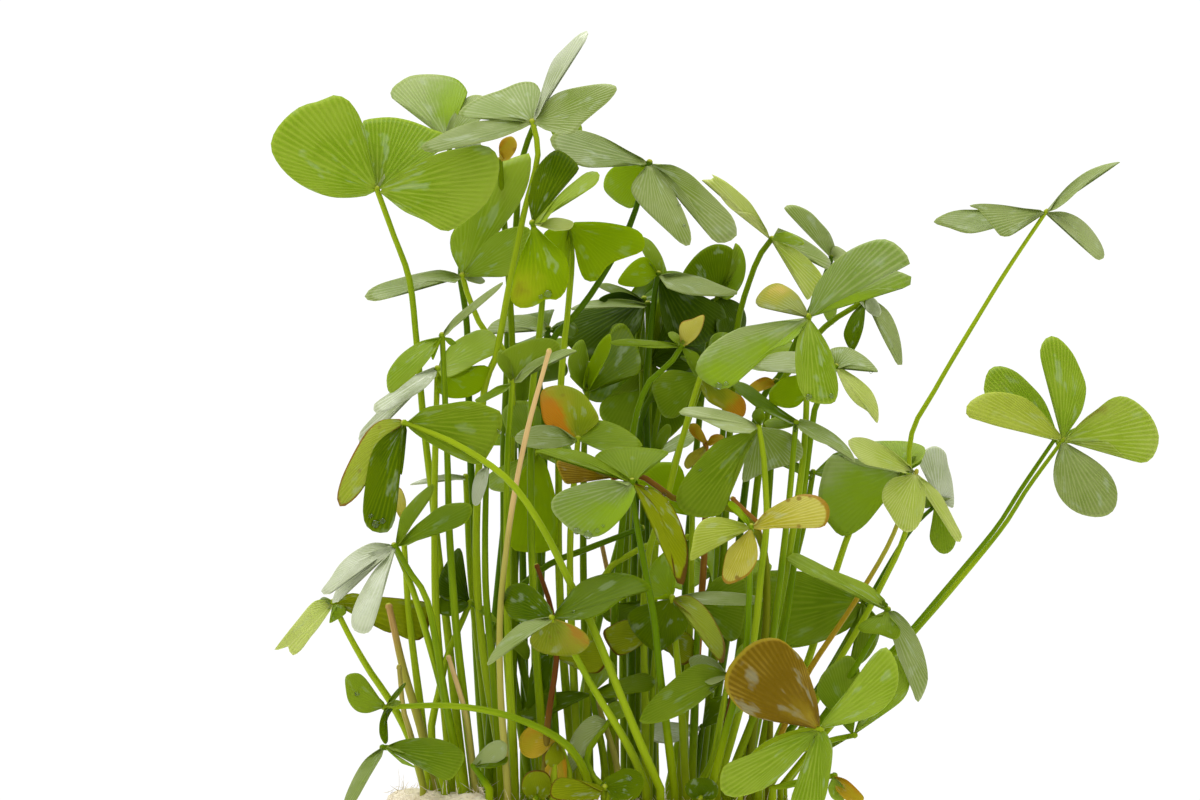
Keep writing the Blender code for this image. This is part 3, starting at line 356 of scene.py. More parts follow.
BARE_STALKS = [
    ("bare_stalk_tall", (-9.2, -16.8), (-5.1, -21.5, 44.7),
     [(-9.9, 12), (-9.8, 21), (-8.6, 30), (-7.2, 37)]),
    ("bare_stalk_left", (-16.6, -7.8), (-21.0, -10, 19.3),
     [(-17.6, 6.5), (-19.5, 13)]),
    ("bare_stalk_brown", (-5.6, -17.0), (-6.2, -17, 23.3),
     [(-5.2, 8), (-4.3, 14.6), (-4.9, 19.4)]),
]

STUBS = [
    ("stub_tan", (2.0, -9.5), (-1.5, -10, 13.2), [(1.6, 4), (1.2, 5.5), (0, 9)]),
    ("stub_right", (11.0, -12.0), (13.1, -13, 10.4), [(11.3, 3.5), (12.2, 6.5)]),
    ("stub_pale", (-12.4, -13.2), (-15.0, -14, 14.2), [(-12.5, 1.5), (-13.2, 8), (-14, 11)]),
    ("stub_left", (-17.6, -10.8), (-20.0, -12, 13.2), [(-18.8, 6.5), (-19.5, 9)]),
    ("stub_inner", (1.6, -3.0), (0.2, -3, 25.5), [(1.5, 10), (1.2, 20)]),
    ("stub_rust", (16.8, -4.0), (13.4, -6, 30.0), [(17.0, 10), (16.6, 20), (15.8, 27.4), (14.2, 29.1)]),
    ("stem_crossing", (-11.2, -6.0), (4.0, -9, 27.2), [(-10.8, 10), (-9.2, 19), (-7.5, 21.7), (-4.8, 23.8), (-2, 24.9)]),
    ("stem_pale", (-1.8, -5.0), (8.6, -6, 26.3), [(-1.4, 8), (-0.8, 18), (0.6, 22.8), (3.2, 24.7), (5.2, 25.7)]),
    ("stem_dark", (4.6, 2.0), (6.2, 3, 40.4), [(5.2, 15), (5.3, 34)]),
    ("stem_darker", (3.0, 3.0), (5.4, 3.5, 40.8), [(3.2, 15), (3.9, 36)]),
    ("stem_lime", (4.6, -8.0), (10.2, -9, 42.8), [(4.4, 18), (4.9, 25), (6.6, 30), (7.6, 34), (9.2, 39.8)]),
]
print("fronds:", len(FRONDS), " shoots:", len(SHOOTS), " bare stalks:", len(BARE_STALKS) + len(STUBS))

# %% [markdown]
# Every leaflet has one of a few finishes. The letters stand for them: m the usual middle green,
# e deeper green, its depth partly painted shade, l lime where the light comes through, f yellow-green,
# g satin and greyer, the grey partly painted sheen, h the same but duller, p pale and waxy, its
# paleness partly painted sheen, x pale lime, d painted shade, k the deepest painted shade, y yellow
# with age, r green with a browned rim, b dead and brown, v olive, c rusty all over. In o, q, t and u
# a part of the green has turned: o orange to one side of the blade, q brown to the other, t and u
# near the tip. a is fresh green and j lime, each with a small brown mark. s is satin with one half
# lime, n is satin with the other half lime, the grey of both partly painted sheen, and w is deep
# green with a painted grey glare along one side.

# %% Which leaflet has which finish
FINISH_LETTERS = {
    "crown_left": "mmmg", "crown_left_back": "sggg", "crown_top": "hgpg", "crown_top_back": "gggm",
    "crown_right": "hlgg", "right_shoulder": "xgxm", "inner_left": "dmjx", "left_high": "mmgg",
    "centre_lime": "llxd", "inner_dark": "elhk", "inner_dark_left": "gkdk", "back_pair": "dekd",
    "yellow_tip": "yeee", "folded": "ledd", "right_back": "ggde", "right_hanging": "dpgd",
    "right_front_large": "snmt", "right_mid": "ggxl", "middle_right": "gegd",
    "middle_right_wet": "wgmd", "right_big": "nmed", "right_light": "xxxd", "right_outer": "pegd",
    "far_right_tall": "gghh", "far_right_low": "fmah", "far_right_twin": "mmmm",
    "left_front_arch": "edrd", "left_upper": "mlgm", "left_glossy": "ppml", "inner_mid": "eegm",
    "inner_arch": "gddd", "centre_small": "geom", "big_left_leaf": "lmee", "centre_front": "seev",
    "inner_right": "eeud", "left_low": "peep", "far_left_low": "xgvm", "left_stray": "eddm",
    "left_base": "egmm", "centre_low": "wgdq", "low_dark": "dddm", "curled_yellow": "rgld",
    "low_green": "eegm", "yellow_frond": "fyyl", "brown_fan": "bmmm", "right_low": "meee",
    "right_edge": "gmee", "right_low_fan": "eede", "behind_left": "eede", "behind_middle": "dddd",
    "behind_right": "keed", "behind_low_left": "eeee", "behind_low_right": "dddd",
    "behind_far": "egee", "behind_bottom": "eede",
    "left_inner_low": "dmk", "base_small": "gd", "old_yellow": "cv", "base_arch": "ge",
    "low_grey": "pd", "bottom_green": "dv", "base_brown": "cm", "yellow_scrap": "c",
    "core_band": "g", "core_dark": "kedkd", "mid_leaf": "l", "brown_leaf": "b", "low_core": "dv",
    "olive_leaf": "vv", "base_round": "v", "base_right": "d", "pale_extra": "p", "grey_scrap": "e",
    "rust_scrap": "ccy", "orange_scrap": "c", "yellow_speck": "y", "thin_pale": "p",
    "glossy_fold": "p", "core_leaf": "e", "lower_core": "ldd", "lower_right": "e", "lower_left": "ee",
    "inner_arch_extra": "e", "base_tan": "c",
}

# %% [markdown]
# ## Outlines of the leaflets that show
# A plain fan is right for a leaflet deep inside the plant. The ones at the front are each a
# little different: notched, lopsided, folded. Their margins are drawn, point by point, from one
# side of the hub round to the other. The numbers are tenths of a millimetre, to the right and
# down from a corner 60 mm left of the middle and 80 mm above the table's zero, and the blade
# that fills an outline still leans as its row says.

# %% Drawn outlines
OUTLINES = {
    "crown_left": {
        0: "366,196 350,198 330,197 308,189 290,177 277,162 271,147 275,132 287,117 302,106 "
           "320,101 335,95 348,100 356,110 362,122 368,145 374,172",
        1: "374,172 366,140 362,122 374,118 392,117 412,121 432,129 445,135 440,150 420,162 "
           "392,180",
        2: "392,177 410,166 440,153 462,148 480,145 492,149 499,160 498,178 490,198 478,212 "
           "462,224 450,231 440,230 425,221 405,212 393,203",
        3: "376,184 370,172 366,160 373,154 382,164 385,178"},
    "crown_left_back": {
        0: "430,122 405,106 391,97 392,88 400,81 412,75 435,74 455,78 465,87 467,95 458,106 "
           "450,122",
        1: "446,130 452,116 466,98 480,95 490,103 480,120 460,132"},
    "crown_top": {
        0: "520,121 500,120 475,122 455,128 435,138 421,147 432,153 455,148 480,143 500,138 "
           "522,129",
        1: "537,112 541,95 535,83 520,82 500,90 480,97 462,108 460,116 480,118 505,117 "
           "524,119",
        2: "535,112 540,98 545,80 553,60 565,47 578,35 588,31 585,42 575,55 565,70 552,88 "
           "545,101 539,114",
        3: "541,112 548,100 560,92 580,87 605,84 617,88 610,100 595,113 582,124 573,134 "
           "560,134 545,130"},
    "crown_right": {
        0: "640,165 625,163 605,167 585,167 568,160 555,150 550,138 560,131 580,130 603,137 "
           "625,149 642,158",
        1: "643,168 630,163 615,166 606,175 604,188 612,198 622,205 632,208 640,198 646,180",
        2: "645,168 636,178 631,190 640,205 655,220 668,232 680,243 689,246 691,235 685,215 "
           "675,195 665,178 656,168",
        3: "658,165 672,165 690,174 705,188 720,203 733,218 737,234 730,241 718,243 708,235 "
           "700,220 690,200 675,182 662,171"},
    "right_shoulder": {
        0: "764,226 752,214 733,210 722,199 712,184 701,180 714,179 711,174 725,181 740,193 "
           "752,205 767,230",
        1: "778,240 795,247 812,258 826,269 831,262 820,250 800,237 778,228",
        2: "777,247 788,263 799,283 807,300 815,290 823,279 812,263 798,251 785,244",
        3: "776,234 786,232 796,236 804,243 798,246 784,243"},
    "inner_left": {
        0: "533,217 528,200 532,180 540,163 555,150 568,155 579,168 570,179 560,191 548,206 "
           "540,220",
        1: "540,222 548,209 560,194 575,181 588,172 599,173 597,183 585,192 570,198 555,209 "
           "545,222",
        2: "530,235 523,250 517,266 512,285 511,300 520,308 535,306 546,299 556,300 565,292 "
           "569,275 566,257 552,243 542,234",
        3: "540,226 548,219 560,218 573,222 570,229 555,231"},
    "left_high": {
        0: "460,270 452,255 450,240 455,228 470,215 483,190 497,165 515,157 530,154 529,180 "
           "518,206 500,230 485,250 470,270",
        1: "467,270 478,250 494,235 510,228 527,227 533,238 528,256 518,270 503,277 485,276",
        2: "455,273 440,270 420,273 400,278 380,284 368,291 365,298 375,301 395,296 415,285 "
           "435,281 455,283",
        3: "468,273 478,275 485,281 480,284 468,281"},
    "centre_lime": {
        0: "575,222 600,222 625,226 640,232 645,243 641,252 625,258 610,264 603,272 596,281 "
           "585,280 579,268 575,250 572,236",
        1: "566,230 552,228 543,236 548,255 560,275 568,285 569,262 570,240",
        2: "565,222 556,219 548,220 545,224 552,227 563,228",
        3: "568,232 566,245 567,260 571,272 574,258 573,240"},
    "inner_dark": {
        0: "655,270 648,261 642,250 640,237 651,241 661,255 667,272",
        1: "652,278 646,285 632,287 618,283 624,271 634,261 645,257 655,266",
        2: "665,274 680,273 700,277 720,285 738,292 738,294 725,296 705,296 685,294 667,288",
        3: "662,280 682,288 705,298 722,306 726,322 714,338 694,346 675,343 664,325 659,300"},
    "inner_dark_left": {
        0: "642,299 632,292 618,286 606,283 597,285 604,290 616,295 630,299",
        1: "642,303 625,302 600,304 580,309 568,320 562,335 568,345 578,354 592,362 606,355 "
           "625,346 640,328",
        2: "644,312 630,335 610,350 594,362 584,378 583,392 592,401 606,402 625,397 640,384 "
           "646,350",
        3: "644,303 636,297 622,292 608,294 599,300 612,304 630,306"},
    "back_pair": {
        0: "707,286 690,282 682,276 690,262 702,250 716,244 730,247 737,257 734,270 724,284",
        1: "722,294 728,285 735,272 738,256 735,243 742,249 746,265 743,282 734,296 727,300",
        2: "718,298 730,299 741,305 746,316 745,328 738,340 724,345 716,330",
        3: "714,300 708,314 698,330 688,345 683,338 688,320 700,304"},
    "yellow_tip": {
        0: "681,340 679,330 682,322 692,319 704,315 702,328 696,338 687,345",
        1: "675,347 655,348 635,346 615,345 610,342 625,339 645,340 665,342 679,345",
        2: "683,348 691,350 698,354 701,362 699,374 702,384 695,376 688,364",
        3: "678,343 671,339 668,333 674,332 681,337 685,343"},
    "folded": {
        0: "583,387 586,370 593,355 600,342 610,334 610,350 602,366 594,380",
        1: "582,389 572,378 568,362 574,345 583,340 588,355 589,372",
        2: "590,391 605,384 622,378 638,374 641,362 638,348 633,336 627,326 619,323 612,326 "
           "609,336 604,352 596,370",
        3: "584,390 577,383 570,376 575,370 583,376 588,386"},
    "right_back": {
        0: "824,251 814,241 803,229 792,218 784,208 789,205 798,206 810,212 820,222 830,234 "
           "836,250",
        1: "835,262 850,265 848,254 836,246 831,251",
        2: "834,256 845,254 855,258 850,267 838,264",
        3: "829,262 834,280 838,300 834,324 826,318 820,300 824,280"},
    "right_hanging": {
        0: "861,305 852,314 845,328 844,338 851,351 857,345 863,328 865,310",
        1: "859,301 868,312 877,317 881,312 876,300 868,295",
        2: "871,303 876,318 884,340 892,355 897,364 902,365 901,345 896,326 888,311 876,301",
        3: "862,298 862,293 868,291 876,294 872,299"},
    "right_front_large": {
        0: "809,308 815,287 830,266 845,253 862,244 880,239 893,242 905,253 910,263 905,268 "
           "896,267 896,273 905,273 912,278 910,285 900,289 880,288 860,292 840,300 825,308 "
           "816,315",
        1: "798,321 780,321 760,324 740,328 720,338 705,350 697,362 696,373 705,382 717,388 "
           "728,388 740,380 755,362 770,351 785,345 797,336 804,327",
        2: "802,326 796,345 795,365 798,385 805,398 815,403 833,403 838,390 836,372 832,355 "
           "825,340 814,324",
        3: "802,314 790,309 778,310 760,307 756,300 765,288 777,283 788,287 798,295 806,308"},
    "right_mid": {
        0: "826,366 800,373 780,372 765,371 753,366 765,357 780,352 800,352 818,355 830,362",
        1: "835,362 830,350 845,347 858,352 870,361 878,372 865,367 850,365 840,368",
        2: "838,373 845,390 855,403 868,412 877,423 878,408 872,392 860,380 845,370",
        3: "818,376 805,396 798,406 785,408 771,402 770,390 784,378 800,375 818,370"},
    "middle_right": {
        0: "750,433 730,432 715,426 700,419 680,414 684,408 700,407 716,409 735,414 752,422",
        1: "748,433 735,435 718,441 703,455 690,470 680,485 676,500 682,511 695,517 712,517 "
           "722,513 728,500 733,480 740,460 752,440",
        2: "759,434 748,446 744,465 743,482 755,477 770,470 795,463 803,455 800,441 785,431 "
           "768,428",
        3: "757,423 752,417 755,410 762,409 765,417 761,424"},
    "middle_right_wet": {
        0: "790,424 775,417 758,408 745,398 733,386 740,382 752,387 768,400 785,412 797,420",
        1: "800,430 815,440 830,446 845,455 855,462 850,450 838,437 825,428 810,421 800,419",
        2: "791,427 780,429 768,428 765,422 778,417 790,420",
        3: "794,424 793,428 794,432 796,432 797,428"},
    "right_big": {
        0: "900,473 885,470 865,467 848,461 835,454 827,460 822,475 818,495 820,511 829,524 "
           "839,535 850,535 865,525 880,507 895,488 903,478",
        1: "900,469 885,460 872,447 873,442 890,441 910,442 925,448 921,460 909,467",
        2: "907,464 912,457 920,456 921,463 910,470",
        3: "902,471 897,480 896,492 902,500 909,490 909,476"},
    "right_light": {
        0: "905,473 885,468 865,464 855,455 848,443 852,438 865,438 880,444 895,453 910,466",
        1: "907,476 893,478 884,487 882,500 890,515 898,527 907,532 917,527 924,510 925,490 "
           "919,479",
        2: "921,478 930,484 940,494 947,506 955,522 962,537 957,542 948,530 938,514 928,499 "
           "920,488",
        3: "912,470 905,463 898,460 900,466 908,473"},
    "right_outer": {
        0: "935,487 925,474 918,460 925,450 935,446 945,452 948,465 952,480 954,500 952,508 "
           "942,498",
        1: "936,496 932,520 930,540 940,553 950,552 956,540 950,522 943,498",
        2: "938,489 946,488 952,492 950,499 941,496",
        3: "934,489 928,492 924,499 925,508 931,506 937,497"},
    "far_right_tall": {
        0: "1050,210 1058,197 1070,184 1086,172 1103,165 1120,162 1108,169 1093,178 1079,190 "
           "1066,202 1056,209",
        1: "1050,212 1064,212 1079,218 1092,230 1102,246 1104,257 1098,260 1090,254 1081,242 "
           "1074,229 1062,218",
        2: "1037,214 1025,222 1017,230 1010,236 1000,236 994,229 985,218 977,209 969,206 "
           "980,204 1000,205 1020,208 1040,210",
        3: "1020,217 1000,225 980,232 965,233 950,228 934,222 945,214 960,210 980,210 "
           "1000,211 1022,211"},
    "far_right_low": {
        0: "1055,439 1040,436 1020,431 1000,427 980,421 967,416 967,405 978,396 992,392 "
           "1007,393 1025,398 1040,410 1052,424 1060,434",
        1: "1061,428 1056,412 1051,395 1047,380 1042,365 1040,352 1043,342 1050,336 1060,339 "
           "1072,352 1080,368 1086,385 1085,400 1080,415 1068,432",
        2: "1068,437 1075,428 1085,418 1097,409 1110,399 1122,396 1135,401 1150,415 1158,432 "
           "1158,445 1152,458 1143,463 1130,460 1118,451 1108,442 1095,442 1072,443",
        3: "1060,446 1055,460 1053,478 1058,495 1068,507 1080,514 1095,517 1107,515 1115,507 "
           "1117,492 1112,478 1103,467 1090,457 1070,445"},
    "far_right_twin": {
        0: "1048,434 1025,412 1000,400 985,395 985,380 990,369 1000,366 1015,371 1030,384 "
           "1045,402 1056,430",
        1: "1046,438 1030,434 1010,428 995,420 1000,408 1020,408 1036,420 1050,434",
        2: "1058,436 1070,430 1085,424 1100,422 1105,432 1092,440 1075,443 1060,443",
        3: "1057,446 1062,456 1072,466 1086,468 1094,462 1085,454 1070,446"},
    "left_front_arch": {
        0: "411,420 425,408 445,404 470,401 490,407 501,413 501,430 490,452 480,464 462,460 "
           "440,449 420,437 410,429",
        1: "402,430 399,460 397,490 396,515 390,530 381,533 368,528 363,512 366,480 371,455 "
           "380,440 398,427",
        2: "398,428 385,436 372,452 368,470 363,488 352,501 341,507 337,498 341,480 349,462 "
           "358,445 368,430 382,420 400,419",
        3: "402,426 400,445 398,462 401,475 404,460 407,430"},
    "left_upper": {
        0: "433,354 420,370 405,383 390,393 387,376 396,360 408,349 422,341 438,338",
        1: "440,340 437,350 433,360 431,352 435,342",
        2: "444,331 455,317 472,303 488,291 503,282 497,291 480,305 462,319 448,334",
        3: "445,340 450,345 456,343 451,338"},
    "left_glossy": {
        0: "436,376 425,388 410,398 397,406 385,412 376,413 374,405 388,394 405,381 422,372 "
           "434,367",
        1: "434,378 415,392 400,405 385,420 372,436 361,447 359,434 370,420 385,405 405,388 "
           "428,373",
        2: "441,358 450,346 462,337 478,330 490,331 497,338 500,348 495,354 480,361 465,370 "
           "450,377 441,376",
        3: "440,376 452,378 466,374 482,365 492,372 484,388 468,397 450,398 437,392"},
    "inner_mid": {
        0: "509,379 503,372 497,362 498,352 503,350 509,360 514,374",
        1: "513,377 505,367 500,357 505,350 520,343 540,338 555,340 560,348 550,358 535,366 "
           "521,378",
        2: "517,378 524,368 535,360 550,354 565,349 577,351 566,355 550,360 536,368 521,382",
        3: "508,385 498,386 488,392 475,400 481,403 492,398 506,391"},
    "inner_arch": {
        0: "543,333 525,328 505,329 487,334 491,324 505,317 525,315 542,320 553,330",
        1: "552,328 562,324 572,322 578,330 572,338 556,335"},
    "centre_small": {
        0: "572,438 560,428 545,425 530,427 518,433 515,440 525,446 545,449 560,447 573,443",
        1: "572,431 566,426 560,424 575,421 595,420 612,423 628,431 640,441 641,447 622,448 "
           "604,451 590,445",
        2: "562,430 546,425 541,410 541,392 552,386 567,386 581,392 591,403 599,420 588,431",
        3: "573,442 570,446 565,445 567,441 573,439"},
    "big_left_leaf": {
        0: "536,456 524,468 516,485 511,505 508,530 512,548 525,552 545,552 556,545 558,525 "
           "556,500 550,475 543,456",
        1: "530,451 520,458 510,463 498,468 486,478 490,489 503,492 515,489 522,478 534,462",
        2: "540,450 548,452 553,456 548,460 541,457",
        3: "531,447 520,441 510,434 504,424 503,410 512,402 525,401 537,405 541,418 541,440"},
    "centre_front": {
        0: "628,486 612,480 595,481 575,486 560,492 552,500 552,510 562,522 575,532 592,537 "
           "605,533 618,522 630,507 636,492",
        1: "624,480 610,473 590,464 570,458 550,455 535,452 545,449 565,449 585,453 605,463 "
           "628,477",
        2: "625,477 612,471 600,464 594,459 600,452 612,449 628,447 645,448 662,450 669,453 "
           "662,458 652,464 643,472 637,480",
        3: "639,486 650,488 660,493 670,503 678,517 684,533 688,552 687,570 683,585 677,582 "
           "674,566 671,548 666,530 659,513 650,500"},
    "left_low": {
        0: "390,546 372,552 357,561 345,572 338,585 332,602 339,601 346,590 356,578 372,567 "
           "390,553",
        1: "396,540 398,528 401,515 410,503 420,493 433,484 432,495 424,507 415,520 407,533 "
           "400,543",
        2: "402,541 413,528 425,518 440,507 455,503 470,504 472,513 465,523 450,530 430,535 "
           "408,545",
        3: "386,558 376,568 366,583 357,600 352,615 353,628 362,633 371,630 377,615 382,596 "
           "386,576"},
    "far_left_low": {
        0: "330,601 318,600 310,605 300,617 288,632 278,645 275,650 283,648 288,646 290,652 "
           "294,655 302,649 310,638 319,627 332,608",
        1: "330,599 323,597 317,604 319,613 329,608",
        2: "341,597 352,593 370,596 385,597 405,599 425,602 431,608 430,620 427,633 420,640 "
           "408,640 400,632 390,633 378,628 369,618 358,609 343,606",
        3: "337,606 334,611 331,617 330,623 338,619 346,613 344,606"},
    "left_stray": {
        0: "384,702 374,692 367,680 358,673 346,676 346,690 349,702 357,711 368,713 380,709",
        1: "389,700 395,692 402,685 406,683 402,691 394,701",
        2: "389,708 384,714 380,722 380,735 385,744 388,740 386,730 388,718 393,709",
        3: "390,702 396,700 401,702 397,706 390,707"},
    "left_base": {
        0: "391,744 402,740 415,738 435,738 452,743 462,750 465,757 460,768 452,778 443,779 "
           "432,773 420,765 405,756",
        1: "381,748 373,753 364,761 355,775 346,795 344,806 354,803 362,790 370,776 382,756",
        2: "391,744 400,742 413,744 418,750 404,753",
        3: "390,750 397,755 407,761 416,767 402,763"},
    "centre_low": {
        0: "556,611 565,599 580,583 600,575 620,573 640,578 652,589 636,593 618,602 605,612 "
           "590,618 575,620 560,619",
        1: "549,617 535,619 520,624 505,637 493,652 487,665 495,661 510,649 525,638 551,622",
        2: "547,618 527,623 511,618 504,605 506,590 515,584 526,584 537,591 546,601 553,612",
        3: "551,622 540,628 530,638 533,648 545,654 565,656 580,653 589,645 587,635 575,626 "
           "560,621"},
    "low_dark": {
        0: "588,695 575,691 560,692 545,694 535,700 522,711 520,715 530,720 545,717 560,709 "
           "577,701",
        1: "596,690 610,683 630,676 645,673 655,680 650,690 632,693 608,698",
        2: "597,698 606,703 616,702 612,694"},
    "base_arch": {
        0: "605,720 595,715 583,722 573,735 568,750 568,765 571,774 577,765 582,752 590,740 "
           "603,729"},
    "old_yellow": {
        0: "556,735 546,727 535,724 525,730 519,740 521,752 530,758 540,756 552,746",
        1: "557,744 563,752 564,765 557,775 548,771 544,758 552,744"},
    "base_small": {
        0: "473,762 480,752 490,743 500,740 507,745 505,757 495,763 482,766",
        1: "477,765 485,758 500,757 508,756 505,764 490,768"},
    "low_green": {
        0: "724,672 712,666 698,664 684,671 668,684 652,699 642,713 640,722 655,723 675,717 "
           "695,706 714,690",
        2: "724,671 715,660 700,655 689,660 695,672 709,684 722,680"},
    "curled_yellow": {
        0: "676,597 690,596 705,607 717,625 725,645 723,663 715,656 708,640 698,625 688,612 "
           "675,603",
        1: "680,596 700,592 725,592 750,595 765,600 750,605 725,605 700,604 680,601",
        2: "666,594 656,598 646,598 646,582 650,568 660,556 673,548 676,560 675,590",
        3: "666,599 655,602 640,606 628,615 632,630 645,645 658,652 670,645 682,635 688,622 "
           "680,606"},
    "yellow_frond": {
        0: "745,524 730,519 715,517 703,520 695,530 692,545 690,560 700,556 712,545 725,538 "
           "744,532",
        1: "756,525 764,513 776,505 790,498 805,494 820,497 829,507 828,520 822,527 805,528 "
           "785,527 760,530",
        2: "746,532 737,541 728,549 724,561 722,578 728,584 740,580 750,573 757,560 757,545 "
           "753,533",
        3: "744,522 735,513 728,505 731,501 740,508 749,520"},
    "brown_fan": {
        0: "811,728 790,724 765,720 744,712 731,699 724,685 728,668 738,655 750,644 765,638 "
           "780,639 792,648 803,660 811,680 817,700 820,720",
        1: "823,721 835,705 850,687 862,670 873,655 885,647 893,655 898,670 897,688 886,706 "
           "870,717 850,723 828,727",
        2: "813,732 800,733 780,740 760,750 740,758 725,765 720,778 722,792 735,797 755,792 "
           "770,785 785,772 800,756 815,738",
        3: "815,734 810,745 802,765 795,785 791,802 803,808 820,808 826,795 829,780 832,760 "
           "832,745 826,732"},
    "right_low": {
        0: "858,729 875,719 893,708 905,697 910,683 908,668 900,655 890,662 880,690 864,715",
        1: "847,727 835,715 822,702 817,690 822,675 835,663 850,656 860,672 858,700",
        2: "848,738 838,742 829,750 824,744 836,736",
        3: "858,732 868,724 880,713 872,706 860,716"},
    "right_edge": {
        0: "887,613 895,611 906,620 915,633 922,648 927,668 927,684 918,702 912,690 905,673 "
           "898,656 893,640 886,622",
        1: "884,607 875,603 855,592 835,582 815,577 800,570 787,559 795,553 810,559 830,569 "
           "850,577 870,586 885,600",
        2: "882,615 870,618 858,626 862,632 878,634 895,639 900,630 890,618",
        3: "882,605 877,600 872,596 880,598 888,604"},
    "right_low_fan": {
        0: "860,609 852,626 835,636 810,645 785,648 760,641 735,637 722,626 717,606 725,589 "
           "745,575 775,570 805,572 830,580 852,592",
        1: "859,605 856,618 850,630 845,640 850,645 858,635 866,608",
        2: "866,604 872,612 880,622 878,640 870,655 858,665 850,660 856,640 860,610",
        3: "863,597 858,592 852,590 855,597 859,602"},
    "crown_top_back": {
        0: "537,108 525,104 512,102 505,106 515,110 530,112",
        1: "543,108 552,103 560,101 565,106 556,112",
        2: "538,106 536,98 540,92 546,98 545,106"},
    "inner_right": {
        0: "698,373 688,372 678,370 667,371 656,378 652,388 656,402 663,416 674,418 683,412 "
           "689,400 699,383",
        2: "708,380 718,388 730,392 741,396 746,405 744,416 735,418 722,409 708,401 699,386"},
    "behind_left": {
        0: "528,343 518,347 508,350 505,356 518,356 530,350",
        1: "540,343 550,340 565,338 572,343 560,350 541,350",
        3: "532,350 528,354 530,362 536,364 539,352"},
    "behind_middle": {
        0: "630,298 618,300 605,302 590,306 585,312 600,315 620,311 632,306"},
    "behind_low_right": {
        0: "806,468 798,463 785,456 770,450 765,458 780,465 804,476",
        2: "810,472 811,470 813,469 813,471 811,473",
        3: "809,476 808,478 809,480 811,479 811,477"},
    "behind_far": {
        0: "640,455 630,453 615,455 605,460 615,466 640,463",
        1: "650,455 656,449 668,442 680,434 692,430 697,436 688,446 672,451 655,462"},
    "behind_bottom": {
        0: "708,571 702,580 690,589 678,589 670,583 672,570 680,556 688,545 695,555 706,567",
        1: "716,570 722,564 730,560 745,565 760,560 772,566 765,575 745,580 722,579"},
    "left_inner_low": {
        0: "465,601 455,598 443,597 434,601 436,611 448,616 460,613 467,608",
        1: "472,601 480,604 490,611 498,622 490,620 480,612 471,606",
        2: "462,600 456,601 444,600 438,590 440,575 448,560 458,548 463,556 463,575 467,597"},
    "low_grey": {
        0: "698,726 680,723 660,722 645,728 639,733 650,740 668,743 685,738 698,731"},
    "bottom_green": {
        0: "600,792 600,786 605,779 614,773 626,768 638,771 644,780 641,792 634,799 612,800",
        1: "602,792 590,786 575,779 558,778 551,787 553,798 575,800 598,799"},
    "base_brown": {
        0: "833,777 839,777 847,780 856,788 864,798 858,804 846,800 836,790",
        1: "831,780 828,788 832,798 842,802 846,792 840,782"},
    "yellow_scrap": {
        0: "503,158 499,149 501,141 507,137 513,137 517,144 515,152 509,160"},
    "core_band": {
        0: "646,304 630,300 610,299 590,301 575,306 571,310 590,308 615,307 644,308"},
    "core_dark": {
        0: "653,357 662,347 680,344 700,350 702,368 694,379 680,376 665,370 653,365",
        1: "647,366 640,388 625,393 610,396 601,403 600,416 610,426 628,432 637,420 650,370",
        2: "648,356 647,340 650,320 655,302 663,300 665,320 660,342 654,357",
        3: "654,332 659,303 676,297 695,304 706,318 704,332 690,334 670,333",
        4: "653,402 668,398 690,397 702,403 695,414 684,424 672,436 658,446 651,436 650,418"},
    "mid_leaf": {
        0: "690,514 676,513 660,503 646,492 637,481 645,470 656,463 668,462 678,464 684,474 "
           "685,490 692,512"},
    "brown_leaf": {
        0: "612,478 600,479 582,480 567,484 560,474 557,461 575,462 595,467 612,475"},
    "low_core": {
        0: "546,656 536,657 531,668 528,690 526,710 535,704 545,692 551,674 555,658",
        1: "556,654 572,648 590,640 602,645 608,658 600,672 585,672 568,664"},
    "olive_leaf": {
        0: "652,636 640,646 628,653 617,655 608,645 603,632 612,625 625,620 640,622 654,630",
        1: "658,634 672,634 684,632 692,637 697,650 692,660 683,665 675,660 668,650"},
    "base_round": {
        0: "530,799 523,792 522,782 527,773 536,770 546,772 551,780 551,792 544,799"},
    "base_right": {
        0: "694,800 686,793 686,784 696,778 710,779 718,787 716,797 706,800"},
    "pale_extra": {
        0: "389,544 372,543 355,551 340,564 330,579 321,592 330,594 338,583 350,569 368,557 "
           "390,549"},
    "grey_scrap": {
        0: "656,452 656,440 660,430 667,424 671,427 670,436 665,445 660,453"},
    "rust_scrap": {
        0: "703,443 694,437 689,430 690,424 697,424 703,432 707,441",
        1: "708,442 711,436 718,434 724,437 719,442 710,446",
        2: "704,448 696,450 688,455 684,464 688,469 696,463 706,452"},
    "orange_scrap": {
        0: "774,380 765,377 755,381 748,388 753,393 764,390 775,386"},
    "yellow_speck": {
        0: "401,519 396,510 395,498 398,488 402,490 406,502 405,517"},
    "thin_pale": {
        0: "465,476 450,474 435,476 420,480 410,485 425,483 440,480 465,480"},
    "glossy_fold": {
        0: "485,468 479,471 474,480 472,492 473,504 478,505 483,496 487,484 489,471"},
    "core_leaf": {
        0: "641,372 632,362 622,352 612,345 610,334 616,325 624,324 632,334 638,350 643,366"},
    "lower_core": {
        0: "650,600 647,582 655,568 664,556 673,546 674,562 670,578 663,592",
        1: "656,602 664,610 676,622 688,634 690,648 680,655 664,650 652,636 648,618",
        2: "644,600 630,602 614,604 602,610 606,620 620,624 634,620 644,610"},
    "lower_right": {
        0: "700,602 706,590 714,580 724,575 738,574 746,582 746,604 743,624 738,638 728,641 "
           "719,630 711,612"},
    "lower_left": {
        0: "500,625 512,628 524,638 530,650 527,660 515,650 503,640",
        1: "497,622 488,630 480,645 478,660 486,658 494,645 500,632"},
    "inner_arch_extra": {
        0: "516,372 524,366 532,372 534,386 528,400 518,404 511,394 510,381"},
    "base_tan": {
        0: "551,752 560,750 566,760 567,775 566,792 560,801 549,798 545,784 545,768"},
}
